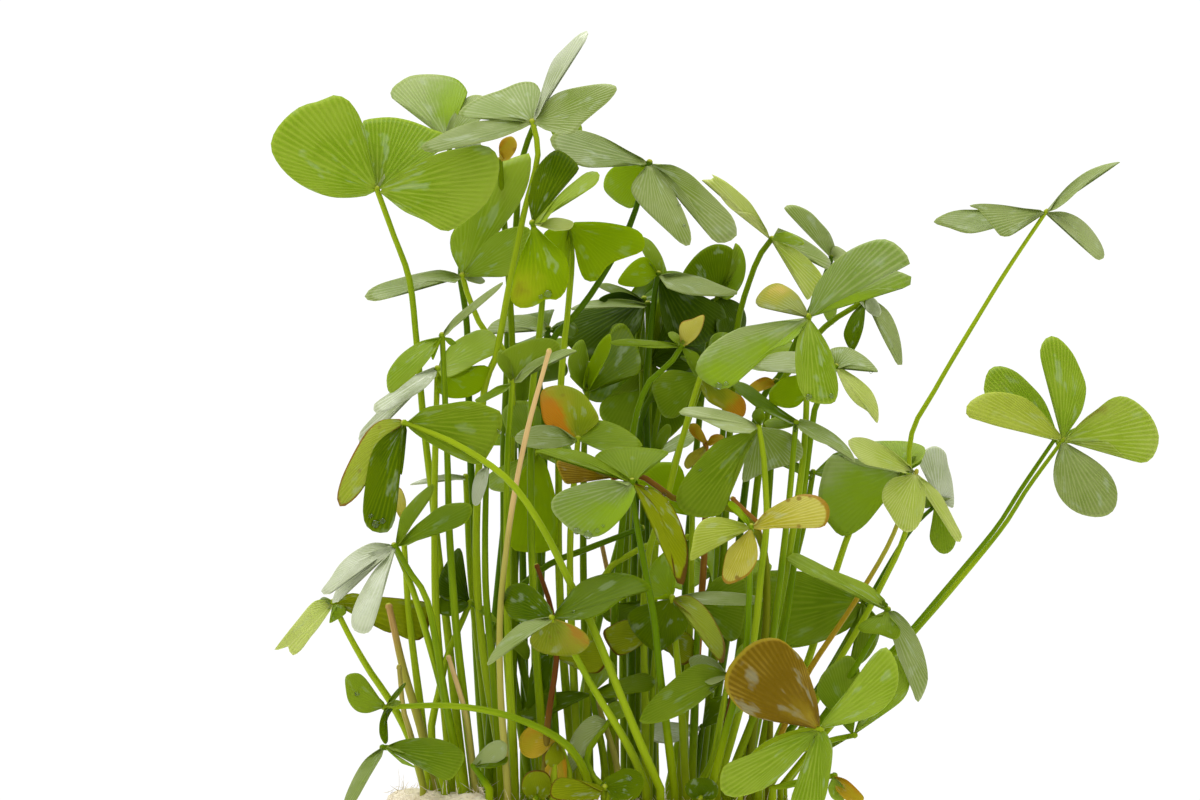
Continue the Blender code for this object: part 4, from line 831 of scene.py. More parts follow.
print("drawn outlines:", sum(len(drawn) for drawn in OUTLINES.values()))

# %% [markdown]
# ## The line of a stalk
# A stalk bends a little all the way up, so a few points are enough if a smooth curve runs
# through them. A Bezier curve object would do, but a Catmull-Rom spline worked out in Python
# gives plain points, which can then carry a hub and leaves. The depth isn't in the table: it
# runs from the foot's to the hub's, a little more slowly near the foot.

# %% Stalk lines
CURVE_STEPS = 12
RING_SPACING = 1.6


def stalk_knots(foot, tip, bends):
    """The points a stalk passes through, from its foot to its tip."""
    low = WOOL_HEIGHT + FOOT_GAP
    top = LEVEL + tip[2]
    knots = [Vector((foot[0], foot[1], low))]
    for x, height in bends:
        part = ((LEVEL + height - low) / (top - low)) ** DEPTH_EASE
        knots.append(Vector((x, foot[1] + (tip[1] - foot[1]) * part, LEVEL + height)))
    knots.append(Vector((tip[0], tip[1], top)))
    return knots


def smooth_route(knots, spacing):
    """Evenly spaced points on a smooth curve through the knots."""
    ends = [knots[0] * 2 - knots[1]] + knots + [knots[-1] * 2 - knots[-2]]
    fine = []
    for index in range(1, len(ends) - 2):
        before, start, end, after = ends[index - 1:index + 3]
        for step in range(CURVE_STEPS):
            t = step / CURVE_STEPS
            fine.append(0.5 * (start * 2 + (end - before) * t
                               + (before * 2 - start * 5 + end * 4 - after) * t * t
                               + (start * 3 - before - end * 3 + after) * t ** 3))
    fine.append(knots[-1])
    reach = [0.0]
    for first, second in zip(fine, fine[1:]):
        reach.append(reach[-1] + (second - first).length)
    count = max(3, round(reach[-1] / spacing))
    route = []
    place = 0
    for step in range(count + 1):
        target = reach[-1] * step / count
        while place < len(fine) - 2 and reach[place + 1] < target:
            place += 1
        part = (target - reach[place]) / (reach[place + 1] - reach[place])
        route.append(fine[place].lerp(fine[place + 1], min(part, 1.0)))
    return route


trial = smooth_route(stalk_knots(*FRONDS[0][1:4]), RING_SPACING)
print("rings on the first stalk:", len(trial))

# %% [markdown]
# ## Growing a mesh
# All the parts of a frond go into one mesh, as they grew in one piece. This small class keeps
# the points, the faces, each face's finish, and two pairs of numbers for every point. The first
# pair says where on its blade a point is: across from edge to edge, and along from the hub to
# the margin. Veins, rims and patches are drawn with it later. The second pair is the same all
# over one leaflet, and gives each its own shade.

# %% A growing mesh
class Growth:
    """Points, faces, finishes and surface coordinates of one piece."""

    def __init__(self):
        self.points = []
        self.faces = []
        self.finishes = []
        self.places = []
        self.shades = []

    def add_point(self, point, place, shade):
        self.points.append(point * MM)
        self.places.append(place)
        self.shades.append(shade)
        return len(self.points) - 1

    def add_face(self, corners, finish):
        self.faces.append(corners)
        self.finishes.append(finish)

    def add_grid(self, rows, finish, closed=False):
        """Faces between rows of point numbers; a closed grid joins each row's two ends."""
        for low, high in zip(rows, rows[1:]):
            for index in range(len(low) if closed else len(low) - 1):
                beside = (index + 1) % len(low)
                self.add_face((low[index], low[beside], high[beside], high[index]), finish)

    def make_object(self, name, finishes):
        mesh = bpy.data.meshes.new(name)
        mesh.from_pydata(self.points, [], self.faces)
        used = sorted(set(self.finishes))
        for finish in used:
            mesh.materials.append(finishes[finish])
        mesh.polygons.foreach_set("material_index", [used.index(finish) for finish in self.finishes])
        shape = bmesh.new()
        shape.from_mesh(mesh)
        bmesh.ops.recalc_face_normals(shape, faces=shape.faces)
        shape.to_mesh(mesh)
        shape.free()
        corners = [0] * len(mesh.loops)
        mesh.loops.foreach_get("vertex_index", corners)
        for layer_name, source in (("blade", self.places), ("shade", self.shades)):
            layer = mesh.uv_layers.new(name=layer_name)
            layer.data.foreach_set("uv", [value for corner in corners for value in source[corner]])
        mesh.polygons.foreach_set("use_smooth", [True] * len(mesh.polygons))
        thing = bpy.data.objects.new(name, mesh)
        bpy.context.collection.objects.link(thing)
        return thing


# %% [markdown]
# ## Stalks
# A leaf stalk is about a millimetre thick and not quite straight or even. A tube with a tiny
# wander in its line and its thickness looks grown, where a perfect one looks like wire. Its foot
# runs on down into the wool, and its top ends in a rounded hub.

# %% Stalk tubes
STALK_SIDES = 8
FOOT_DEPTH = 3.2
WANDER = 0.09
HUB_SWELLING = 1.28


def add_tube(growth, route, radii, shade, finish):
    """A closed tube along the route. The place of a point is (round it, along it)."""
    guide = Vector((1.0, 0.0, 0.0))
    rows = []
    for index, middle in enumerate(route):
        before = route[max(index - 1, 0)]
        after = route[min(index + 1, len(route) - 1)]
        along = (after - before).normalized()
        first = (guide - along * guide.dot(along)).normalized()
        second = along.cross(first)
        guide = first
        row = []
        for side in range(STALK_SIDES):
            angle = 2 * math.pi * side / STALK_SIDES
            spoke = first * math.cos(angle) + second * math.sin(angle)
            place = (side / STALK_SIDES, index / (len(route) - 1))
            row.append(growth.add_point(middle + spoke * radii[index], place, shade))
        rows.append(row)
    growth.add_grid(rows, finish, closed=True)
    growth.add_face(tuple(reversed(rows[0])), finish)
    growth.add_face(tuple(rows[-1]), finish)


def add_stalk(growth, foot, tip, bends, seed, finish, girth=1.0):
    """The stalk of a frond, from inside the wool to its hub."""
    knots = stalk_knots(foot, tip, bends)
    route = smooth_route(knots, RING_SPACING)
    count = len(route) - 1
    for index in range(1, count):
        wander = noise.noise_vector(route[index] * 0.12 + Vector((seed * 7.3, 0.0, 0.0)))
        route[index] += wander * WANDER * min(1.0, 4.0 * (1.0 - index / count))
    route.insert(0, route[0] - Vector((0.0, 0.0, FOOT_DEPTH)))
    count += 1
    radii = []
    for index in range(count + 1):
        part = index / count
        radius = STALK_FOOT_RADIUS + (STALK_TIP_RADIUS - STALK_FOOT_RADIUS) * part
        radii.append(girth * radius * (1.0 + 0.07 * noise.noise(Vector((seed * 3.1, index * 0.35, 0.0)))))
    last = route[-1] - route[-2]
    for reach, swelling in ((0.28, HUB_SWELLING), (0.52, 1.0), (0.66, 0.55)):
        route.append(route[count] + last.normalized() * (reach - 0.2))
        radii.append(girth * STALK_TIP_RADIUS * swelling)
    add_tube(growth, route, radii, (seed * 0.618 % 1.0, 0.5), finish)
    return knots[-1]


# %% [markdown]
# ## Leaflets
# A leaflet is a fan: straight sides spread from the hub, and a rounded margin joins them. It is
# drawn on a sheet of points that runs from edge to edge and from hub to margin, so a column of
# points is also the line of a vein. The sheet is bent (cup, bow and a light ripple near the
# margin), and then given two skins with a thin rim between, because a real blade has thickness
# and a sheet without it breaks when the mesh is printed or lit.

# %% Leaflets
ACROSS_STEPS = 38
ALONG_STEPS = 12
BLADE_THICKNESS = 0.20
RIM_THICKNESS = 0.07
RIPPLE = 0.16
NARROWEST = 0.035
STEEPEST_LEAN = 1.2
VIEW_DISTANCE = 3000.0
VIEW_HEIGHT = LEVEL + 40.0


def leaf_axes(tip, roll):
    """Directions of a leaflet: along it, across it, and out of its upper side."""
    along = tip.normalized()
    across = along.cross(Vector((0.0, 1.0, 0.0))).normalized()
    facing = along.cross(across)
    rising = across if (across.z if abs(across.z) > 0.2 else across.x) > 0 else -across
    turn = math.radians(roll)
    upper = facing * math.cos(turn) + rising * math.sin(turn)
    return along, upper.cross(along), upper


def fan_margin(length, width, s):
    """How far along and across the margin is on the line s, from -1 to 1."""
    reach = FAN_SHOULDER + (1.0 - FAN_SHOULDER) * math.sqrt(max(0.0, 1.0 - abs(s) ** FAN_ROUNDNESS))
    angle = s * FAN_SPREAD * width / length
    return reach * length * math.cos(angle), reach * length * math.sin(angle)


def read_outline(words):
    """Points (x, h) in millimetres from the text of a drawn outline."""
    pairs = [pair.split(",") for pair in words.split()]
    return [Vector((int(right) / 10.0 - 60.0, 80.0 - int(down) / 10.0)) for right, down in pairs]


def along_outline(outline, s):
    """The point at s, from -1 to 1, on a smooth line through the outline's points."""
    spans = [0.0]
    for first, second in zip(outline, outline[1:]):
        spans.append(spans[-1] + (second - first).length)
    target = spans[-1] * (s + 1.0) / 2.0
    place = 0
    while place < len(outline) - 2 and spans[place + 1] < target:
        place += 1
    part = (target - spans[place]) / (spans[place + 1] - spans[place])
    corners = [outline[min(max(place + step, 0), len(outline) - 1)] for step in (-1, 0, 1, 2)]
    before, start, end, after = corners
    return 0.5 * (start * 2 + (end - before) * part + (before * 2 - start * 5 + end * 4 - after) * part ** 2
                  + (start * 3 - before - end * 3 + after) * part ** 3)


def drawn_margin(outline, hub, upper, s):
    """The step from the hub to a drawn margin at s, seen from the front where it was drawn."""
    point = along_outline(outline, s)
    nearness = 1.0 + hub.y / VIEW_DISTANCE
    x = point[0] * nearness - hub.x
    z = VIEW_HEIGHT + (point[1] + LEVEL - VIEW_HEIGHT) * nearness - hub.z
    return Vector((x, -(upper.x * x + upper.z * z) / upper.y, z))


def lean_less(upper):
    """The same direction out of the blade, turned to the front until its lean is at most the steepest."""
    lean = Vector((upper.x, 0.0, upper.z))
    steepest = STEEPEST_LEAN * abs(upper.y)
    if lean.length > steepest:
        lean *= max(steepest, 0.3) / lean.length
    return Vector((lean.x, -abs(upper.y) if abs(upper.y) > 0.3 else -0.3, lean.z)).normalized()


def add_leaflet(growth, hub, leaf, seed, finish, outline=None):
    """One closed blade. The place of a point is (across, along), both from 0 to 1."""
    tip = Vector(leaf[:3])
    width = leaf[3]
    cup = leaf[5] if len(leaf) > 5 else DEFAULT_CUP
    bow = leaf[6] if len(leaf) > 6 else DEFAULT_BOW
    along, across, upper = leaf_axes(tip, leaf[4])
    length = tip.length
    shade = (seed * 0.618 % 1.0, seed * 0.377 % 1.0)
    phase = seed * 2.4
    out = upper
    if outline:
        upper = lean_less(upper)
        out = Vector((0.0, 1.0 / upper.y, 0.0))
    margins = []
    for column in range(ACROSS_STEPS + 1):
        s = -math.cos(math.pi * column / ACROSS_STEPS) * 0.35 + (2.0 * column / ACROSS_STEPS - 1.0) * 0.65
        if outline:
            margins.append((s, drawn_margin(outline, hub, upper, s)))
        else:
            forward, sideways = fan_margin(length, width, s)
            margins.append((s, along * forward + across * sideways))
    longest = max(step.length for s, step in margins)
    rows = []
    for step in range(ALONG_STEPS + 1):
        t = NARROWEST + (1.0 - NARROWEST) * step / ALONG_STEPS
        row = []
        for s, margin in margins:
            part = t * margin.length / longest
            lift = cup * (t * s) ** 2 + bow * 4.0 * part * (1.0 - part)
            lift += RIPPLE * t * t * math.sin(s * 5.2 + phase) * (0.4 + 0.6 * math.sin(phase * 1.7))
            row.append(hub + margin * t + out * lift)
        rows.append(row)
    skins = []
    for side in (0.5, -0.5):
        numbers = []
        for step, row in enumerate(rows):
            t = step / ALONG_STEPS
            line = []
            for (s, margin), point in zip(margins, row):
                fullness = (1.0 - abs(s) ** 6) * (1.0 - t ** 6)
                thickness = RIM_THICKNESS + (BLADE_THICKNESS - RIM_THICKNESS) * fullness
                line.append(growth.add_point(point + upper * thickness * side, (0.5 + s / 2.0, t), shade))
            numbers.append(line)
        growth.add_grid(numbers, finish)
        skins.append(numbers)
    front, back = skins
    rims = []
    for skin in skins:
        left = [line[0] for line in skin]
        right = [line[-1] for line in skin]
        rims.append(skin[0][1:] + right[1:] + skin[-1][-2::-1] + left[-2::-1])
    growth.add_grid(rims, finish, closed=True)


trial = Growth()
add_leaflet(trial, Vector((0, 0, 0)), FRONDS[0][4][0], 1, "leaf_middle")
print("faces in one leaflet:", len(trial.faces))

# %% [markdown]
# ## Sums with sockets
# A node tree full of Math nodes is hard to read. This class wraps one output socket, so that
# `1 - mask * 0.5` in Python adds the Math nodes for it. Only numbers that change over the
# surface need nodes: everything that is the same all over is worked out in Python.

# %% Sockets that can be added and multiplied
class Wire:
    """One output socket, with the usual sums."""

    def __init__(self, tree, socket):
        self.tree = tree
        self.socket = socket

    def sum_with(self, operation, *values):
        return add_node(self.tree, "ShaderNodeMath", {"operation": operation}, list(values))

    def __add__(self, other):
        return self.sum_with("ADD", self, other)

    __radd__ = __add__

    def __sub__(self, other):
        return self.sum_with("SUBTRACT", self, other)

    def __rsub__(self, other):
        return self.sum_with("SUBTRACT", other, self)

    def __mul__(self, other):
        return self.sum_with("MULTIPLY", self, other)

    __rmul__ = __mul__

    def __truediv__(self, other):
        return self.sum_with("DIVIDE", self, other)

    def __pow__(self, other):
        if other == 2:
            return self.sum_with("MULTIPLY", self, self)
        return self.sum_with("POWER", self, other)

    def cosine(self):
        return self.sum_with("COSINE", self)

    def size(self):
        return self.sum_with("ABSOLUTE", self)

    def step(self, low, high):
        """0 below low and 1 above high, with a smooth climb between; low may be the larger."""
        settings = {"interpolation_type": "SMOOTHSTEP"}
        values = {"Value": self, "From Min": min(low, high), "From Max": max(low, high)}
        climb = add_node(self.tree, "ShaderNodeMapRange", settings, values)
        return climb if low < high else 1 - climb


def add_node(tree, kind, settings=None, values=None, output=0):
    """A node of any kind: its settings are set first, then its sockets are given or linked."""
    node = tree.nodes.new(kind)
    for name, value in (settings or {}).items():
        setattr(node, name, value)
    if isinstance(values, list):
        values = dict(enumerate(values))
    for name, value in (values or {}).items():
        if isinstance(value, Wire):
            tree.links.new(value.socket, node.inputs[name])
        else:
            node.inputs[name].default_value = value
    return Wire(tree, node.outputs[output])


def blend_colours(tree, factor, first, second, mode="MIX"):
    """A Mix node between two colours, each a tuple or a wire."""
    inputs = {0: factor, 6: first, 7: second}
    for key in (6, 7):
        if not isinstance(inputs[key], Wire):
            inputs[key] = (*inputs[key], 1.0)
    return add_node(tree, "ShaderNodeMix", {"data_type": "RGBA", "blend_type": mode}, inputs, output=2)


def new_material(name, **steady):
    """A material with a bare Principled shader, whose steady values are set on its own sockets."""
    material = bpy.data.materials.new(name)
    material.use_nodes = True
    tree = material.node_tree
    shader = tree.nodes["Principled BSDF"]
    for socket, value in steady.items():
        shader.inputs[socket.replace("_", " ")].default_value = value
    return material, tree, shader


def surface_place(tree, layer):
    """The two surface coordinates of one layer, as wires."""
    coordinates = add_node(tree, "ShaderNodeUVMap", {"uv_map": layer})
    split = add_node(tree, "ShaderNodeSeparateXYZ", None, [coordinates])
    return split, Wire(tree, split.socket.node.outputs[1])


def cloud(tree, scale, detail=3.0, stretch=(1.0, 1.0, 1.0), shift=0.0):
    """Soft noise in the object's own space; scale is in blobs to the metre."""
    place = add_node(tree, "ShaderNodeTexCoord", output=3)
    moved = add_node(tree, "ShaderNodeMapping", None,
                     {"Vector": place, "Scale": stretch, "Location": (shift, shift * 0.7, shift * 1.3)})
    return add_node(tree, "ShaderNodeTexNoise", None,
                    {"Vector": moved, "Scale": scale, "Detail": detail, "Roughness": 0.55})


# %% [markdown]
# ## The finish of a leaf
# Hold a clover leaf to the light and three things show. Fine veins run from the hub to the
# margin and fork on the way, so they stay equally close though the blade widens. The blade
# glows, because light comes through it. And its skin is waxy, so it mirrors the sky softly where
# it turns away. The veins are stripes across the blade; twice on the way out the stripes double,
# which is how a forking vein is drawn without drawing any fork. The glow is a Translucent shader
# mixed into the Principled one.

# %% Leaf finishes
VEINS_AT_MARGIN = 44
VEIN_DEPTH = 0.00005


def vein_stripes(tree, across, along):
    """Bright lines from the hub to the margin that fork twice."""
    angle = (across - 0.5) * (2 * math.pi)
    fine, middle, coarse = [(angle * (VEINS_AT_MARGIN / share)).cosine() for share in (1, 2, 4)]
    outer = along.step(0.52, 0.66)
    inner = along.step(0.24, 0.34)
    stripes = coarse + (middle - coarse) * inner
    stripes = stripes + (fine - stripes) * outer
    return (stripes * 0.5 + 0.5) ** 2.2


def make_leaf(name, blade, light, glow, translucency=0.35, gloss=0.40, wax=0.05, mirror=0.15, patch=None,
              rim=None, spots=0.0, vein_strength=0.52, wet=0.28):
    """A leaf finish: blade and light are its darker and lighter greens, glow is the light through it.

    patch is (colour, colour round it, across, along, reach): a ragged blot round that place on the
    blade. rim is (colour, width)."""
    material, tree, shader = new_material(name, Specular_IOR_Level=mirror, Coat_Roughness=0.2)
    across, along = surface_place(tree, "blade")
    shade, second_shade = surface_place(tree, "shade")
    veins = vein_stripes(tree, across, along)
    blotches = cloud(tree, 190.0)
    fine = cloud(tree, 900.0, detail=2.0, shift=3.0)
    lightness = (blotches - 0.5) * 1.2 + (shade - 0.5) * 0.45 + (fine - 0.5) * 0.3 + veins * vein_strength
    # The outer blade leans towards the lighter, greyer green: painted sheen.
    lightness = (lightness + along * 0.25 + along.step(0.13, 0.0) * 0.5 + 0.22).step(0.0, 1.0)
    colour = blend_colours(tree, lightness, blade, light)
    edge = (across - 0.5).size() * 2.0
    # Painted highlight: the margin, where light catches the blade's edge, is painted paler than the light green.
    margin = add_node(tree, "ShaderNodeMath", {"operation": "MAXIMUM"}, [edge.step(0.93, 1.0), along.step(0.955, 1.0)])
    colour = blend_colours(tree, margin * 0.45, colour, tuple(min(1.0, value * 1.5) for value in light))
    # Painted sheen: grey-white streaks from the hub outward, stronger at the edges, stand for light glancing off water
    # on the blade; the same streaks make the blade glossier.
    place = add_node(tree, "ShaderNodeCombineXYZ", None, {"X": across * 9.0, "Y": along * 3.2, "Z": shade * 40.0})
    streaks = add_node(tree, "ShaderNodeTexNoise", None, {"Vector": place, "Scale": 1.0, "Detail": 3.0})
    wet_film_and_sheen = (streaks + edge ** 2 * 0.07 + (fine - 0.5) * 0.1).step(0.58, 0.70) * wet
    colour = blend_colours(tree, wet_film_and_sheen, colour, PAINTED_WET_SHEEN)
    through = 1.0
    if patch:
        patch_colour, halo_colour, patch_across, patch_along, reach = patch
        ragged = (blotches - 0.5) * 0.7 + (fine - 0.5) * 0.3
        sideways = (across - patch_across) ** 2 * 2.2
        away = (sideways + (along - patch_along) ** 2) ** 0.5
        mask = (away + ragged).step(reach + 0.14, reach - 0.14)
        halo = (away + ragged).step(reach + 0.36, reach + 0.06)
        colour = blend_colours(tree, halo * 0.8, colour, halo_colour)
        colour = blend_colours(tree, mask, colour, blend_colours(tree, veins * 0.4, patch_colour, halo_colour))
        through = 1 - mask * 0.45
    if rim:
        rim_colour, width = rim
        ragged = (blotches - 0.5) * 0.18
        outside = add_node(tree, "ShaderNodeMath", {"operation": "MAXIMUM"}, [edge, along])
        colour = blend_colours(tree, (outside + ragged).step(1.0 - width, 1.0 - width * 0.45), colour, rim_colour)
    if spots:
        specks = add_node(tree, "ShaderNodeTexVoronoi", {"feature": "F1"},
                          {"Vector": add_node(tree, "ShaderNodeTexCoord", output=3), "Scale": 620.0})
        colour = blend_colours(tree, specks.step(0.20, 0.10) * spots, colour, BROWN_SPOT)
    tree.links.new(colour.socket, shader.inputs["Base Color"])
    roughness = (fine - 0.5) * 0.22 + (blotches - 0.5) * 0.16 + gloss - wet_film_and_sheen * 0.3
    tree.links.new(roughness.socket, shader.inputs["Roughness"])
    tree.links.new((blotches.step(0.42, 0.62) * wax).socket, shader.inputs["Coat Weight"])
    bumps = veins * 0.7 + fine * 0.25
    relief = add_node(tree, "ShaderNodeBump", None, {"Height": bumps, "Strength": 0.55, "Distance": VEIN_DEPTH})
    tree.links.new(relief.socket, shader.inputs["Normal"])
    lamp = add_node(tree, "ShaderNodeBsdfTranslucent", None, {"Color": (*glow, 1.0)})
    share = (1 - veins * 0.12) * translucency
    if patch:
        share = share * through
    both = add_node(tree, "ShaderNodeMixShader", None,
                    {0: share, 1: Wire(tree, shader.outputs[0]), 2: lamp})
    tree.links.new(both.socket, tree.nodes["Material Output"].inputs["Surface"])
    return material


# The grey-white of the painted sheen where water lies on a blade.
PAINTED_WET_SHEEN = (0.46, 0.53, 0.38)
BROWN_SPOT = (0.16, 0.07, 0.01)
RUST = (0.50, 0.16, 0.002)
YELLOW = (0.36, 0.33, 0.01)
LIME = (0.21, 0.33, 0.0)
# GLARE is the grey of a painted highlight.
GLARE = (0.32, 0.38, 0.24)
finishes = {
    "m": make_leaf("leaf_middle", (0.145, 0.235, 0.0), (0.29, 0.375, 0.03), (0.55, 0.75, 0.0)),
    # e's deeper green is partly painted shade, for leaves that lie back in the plant.
    "e": make_leaf("leaf_deep", (0.095, 0.165, 0.0), (0.20, 0.275, 0.012), (0.45, 0.62, 0.0), wax=0.03,
                   mirror=0.06, wet=0.15),
    "l": make_leaf("leaf_lime", (0.14, 0.22, 0.0), (0.23, 0.32, 0.0), (0.60, 0.78, 0.0), translucency=0.45,
                   mirror=0.05, wax=0.03, wet=0.15),
    "a": make_leaf("leaf_fresh", (0.22, 0.30, 0.015), (0.38, 0.44, 0.09), (0.60, 0.76, 0.02), wet=0.2,
                   patch=(BROWN_SPOT, (0.30, 0.36, 0.05), 0.20, 0.66, 0.05)),
    "j": make_leaf("leaf_bruised", (0.14, 0.22, 0.0), (0.23, 0.32, 0.0), (0.60, 0.78, 0.0), translucency=0.45,
                   mirror=0.05, wax=0.03, patch=(BROWN_SPOT, (0.34, 0.36, 0.01), 0.40, 0.78, -0.02)),
    # n, h, g and s: their greyer light green is partly painted sheen, the pale cast of light off the blade, on top of
    # the real gloss of their coat.
    "n": make_leaf("leaf_painted_sheen_below", (0.17, 0.25, 0.03), (0.31, 0.37, 0.12), (0.45, 0.62, 0.0),
                   gloss=0.36, mirror=0.2, patch=(LIME, LIME, 0.80, 0.65, 0.42)),
    "f": make_leaf("leaf_yellow_green", (0.22, 0.28, 0.005), (0.38, 0.43, 0.06), (0.65, 0.75, 0.0), wet=0.2),
    "h": make_leaf("leaf_dull_painted_sheen", (0.12, 0.18, 0.015), (0.25, 0.30, 0.085), (0.40, 0.55, 0.02),
                   translucency=0.25, gloss=0.36, wax=0.15, mirror=0.2),
    "g": make_leaf("leaf_painted_sheen", (0.15, 0.22, 0.015), (0.30, 0.355, 0.12), (0.40, 0.55, 0.02),
                   translucency=0.22, gloss=0.36, wax=0.2, mirror=0.25),
    "s": make_leaf("leaf_painted_sheen_above", (0.18, 0.26, 0.04), (0.32, 0.38, 0.13), (0.45, 0.62, 0.0),
                   gloss=0.36, mirror=0.2, patch=(LIME, LIME, 0.95, 0.6, 0.38)),
    # w: its grey patch along one side, in the GLARE colour, is a painted highlight.
    "w": make_leaf("leaf_wet_painted_glare", (0.045, 0.095, 0.0), (0.105, 0.16, 0.0), (0.45, 0.62, 0.0), gloss=0.32,
                   mirror=0.05, wet=0.18, patch=(GLARE, (0.12, 0.19, 0.01), 0.04, 0.55, 0.16)),
    # p's pale, greyish colour is partly painted sheen, the cast of the light above on blades that face up, with the
    # real gloss of its wax.
    "p": make_leaf("leaf_waxy_painted_sheen", (0.24, 0.30, 0.10), (0.50, 0.54, 0.36), (0.45, 0.58, 0.05),
                   translucency=0.2, gloss=0.30, wax=0.7, mirror=0.5, wet=0.2),
    "x": make_leaf("leaf_pale_lime", (0.31, 0.38, 0.04), (0.52, 0.55, 0.18), (0.65, 0.80, 0.05), wax=0.1, wet=0.2),
    # d and k are painted shade: the dark greens of leaves that lie in the plant's shadow are painted into their
    # colour, k for the deepest.
    "d": make_leaf("leaf_shaded", (0.045, 0.090, 0.0), (0.11, 0.165, 0.0), (0.32, 0.52, 0.0),
                   translucency=0.25, gloss=0.34, wax=0.0, mirror=0.03, wet=0.25),
    "k": make_leaf("leaf_painted_deep_shade", (0.018, 0.042, 0.0), (0.050, 0.090, 0.0), (0.15, 0.32, 0.0),
                   translucency=0.12, gloss=0.34, wax=0.0, mirror=0.02, wet=0.10),
    "y": make_leaf("leaf_yellowing", (0.34, 0.32, 0.015), (0.54, 0.51, 0.12), (0.85, 0.78, 0.05),
                   rim=((0.30, 0.15, 0.01), 0.045), spots=0.8),
    "r": make_leaf("leaf_brown_rimmed", (0.18, 0.25, 0.0), (0.33, 0.38, 0.03), (0.5, 0.62, 0.0),
                   rim=((0.24, 0.10, 0.01), 0.07), spots=0.4),
    "o": make_leaf("leaf_turning", (0.15, 0.23, 0.0), (0.28, 0.34, 0.01), (0.6, 0.62, 0.0), mirror=0.06,
                   patch=(RUST, YELLOW, 0.10, 0.6, 0.54), spots=0.4),
    "q": make_leaf("leaf_turning_back", (0.13, 0.19, 0.0), (0.26, 0.29, 0.02), (0.6, 0.6, 0.0), mirror=0.06,
                   patch=((0.34, 0.16, 0.015), (0.27, 0.27, 0.02), 0.86, 0.72, 0.24), spots=0.4),
    "t": make_leaf("leaf_turning_tip", (0.17, 0.23, 0.02), (0.32, 0.36, 0.10), (0.6, 0.62, 0.0),
                   gloss=0.36, mirror=0.2, patch=((0.46, 0.34, 0.05), YELLOW, 0.62, 0.85, 0.04)),
    "u": make_leaf("leaf_rusty_tip", (0.11, 0.16, 0.0), (0.22, 0.26, 0.01), (0.5, 0.5, 0.0), mirror=0.06,
                   patch=((0.46, 0.17, 0.004), YELLOW, 0.5, 1.0, 0.26)),
    "c": make_leaf("leaf_golden", (0.34, 0.24, 0.004), (0.56, 0.42, 0.03), (0.8, 0.5, 0.0), mirror=0.06,
                   patch=((0.44, 0.21, 0.006), YELLOW, 0.3, 0.8, 0.24), spots=0.5),
    "b": make_leaf("leaf_dead", (0.16, 0.10, 0.0), (0.52, 0.36, 0.03), (0.5, 0.32, 0.0), translucency=0.25,
                   gloss=0.3, wax=0.15, mirror=0.08, vein_strength=-0.7,
                   patch=((0.38, 0.31, 0.02), (0.30, 0.22, 0.01), 0.5, 0.0, 0.05), rim=((0.34, 0.26, 0.01), 0.05)),
    "v": make_leaf("leaf_olive", (0.14, 0.19, 0.0), (0.27, 0.31, 0.003), (0.45, 0.50, 0.0), translucency=0.3,
                   mirror=0.05, rim=((0.12, 0.05, 0.003), 0.05)),
}
print("leaf finishes:", len(finishes))

# %% [markdown]
# ## The finish of a stalk
# Stalks are smooth and a brighter green than the leaves, paler and yellower low down, with fine
# lines along them. The two surface coordinates of a tube are round it and along it, so a noise
# that is stretched along gives the lines.

# %% Stalk finishes
HUB_YELLOW = (0.42, 0.44, 0.05)


def make_stalk(name, dark, light, foot, glow, gloss=0.34, translucency=0.22, foot_reach=0.28):
    """A stalk's finish: between dark and light above, and the foot's colour up to foot_reach of its length."""
    material, tree, shader = new_material(name, Specular_IOR_Level=0.06, Coat_Roughness=0.2)
    around, share = surface_place(tree, "blade")
    shade, second_shade = surface_place(tree, "shade")
    grain = add_node(tree, "ShaderNodeCombineXYZ", None,
                     {"X": (around - 0.5).size() * 7.0, "Y": share * 4.0, "Z": shade * 40.0})
    lines = add_node(tree, "ShaderNodeTexNoise", None, {"Vector": grain, "Scale": 1.0, "Detail": 1.0})
    blotches = cloud(tree, 110.0, detail=2.0, shift=5.0)
    lightness = ((lines - 0.5) * 0.9 + (blotches - 0.5) * 1.2 + (shade - 0.5) * 1.0 + 0.5).step(0.0, 1.0)
    colour = blend_colours(tree, lightness, dark, light)
    low = (share + (blotches - 0.5) * 0.2 + (shade - 0.5) * 0.2).step(foot_reach, foot_reach - 0.26)
    colour = blend_colours(tree, low * 0.75, colour, foot)
    colour = blend_colours(tree, share.step(0.955, 0.99), colour, HUB_YELLOW)
    tree.links.new(colour.socket, shader.inputs["Base Color"])
    tree.links.new(((lines - 0.5) * 0.3 + gloss).socket, shader.inputs["Roughness"])
    relief = add_node(tree, "ShaderNodeBump", None, {"Height": lines, "Strength": 0.25, "Distance": VEIN_DEPTH})
    tree.links.new(relief.socket, shader.inputs["Normal"])
    lamp = add_node(tree, "ShaderNodeBsdfTranslucent", None, {"Color": (*glow, 1.0)})
    both = add_node(tree, "ShaderNodeMixShader", None,
                    {0: translucency, 1: Wire(tree, shader.outputs[0]), 2: lamp})
    tree.links.new(both.socket, tree.nodes["Material Output"].inputs["Surface"])
    return material


finishes["stalk"] = make_stalk("stalk_green", (0.11, 0.20, 0.0), (0.32, 0.42, 0.01), (0.26, 0.34, 0.0),
                               (0.55, 0.70, 0.0))
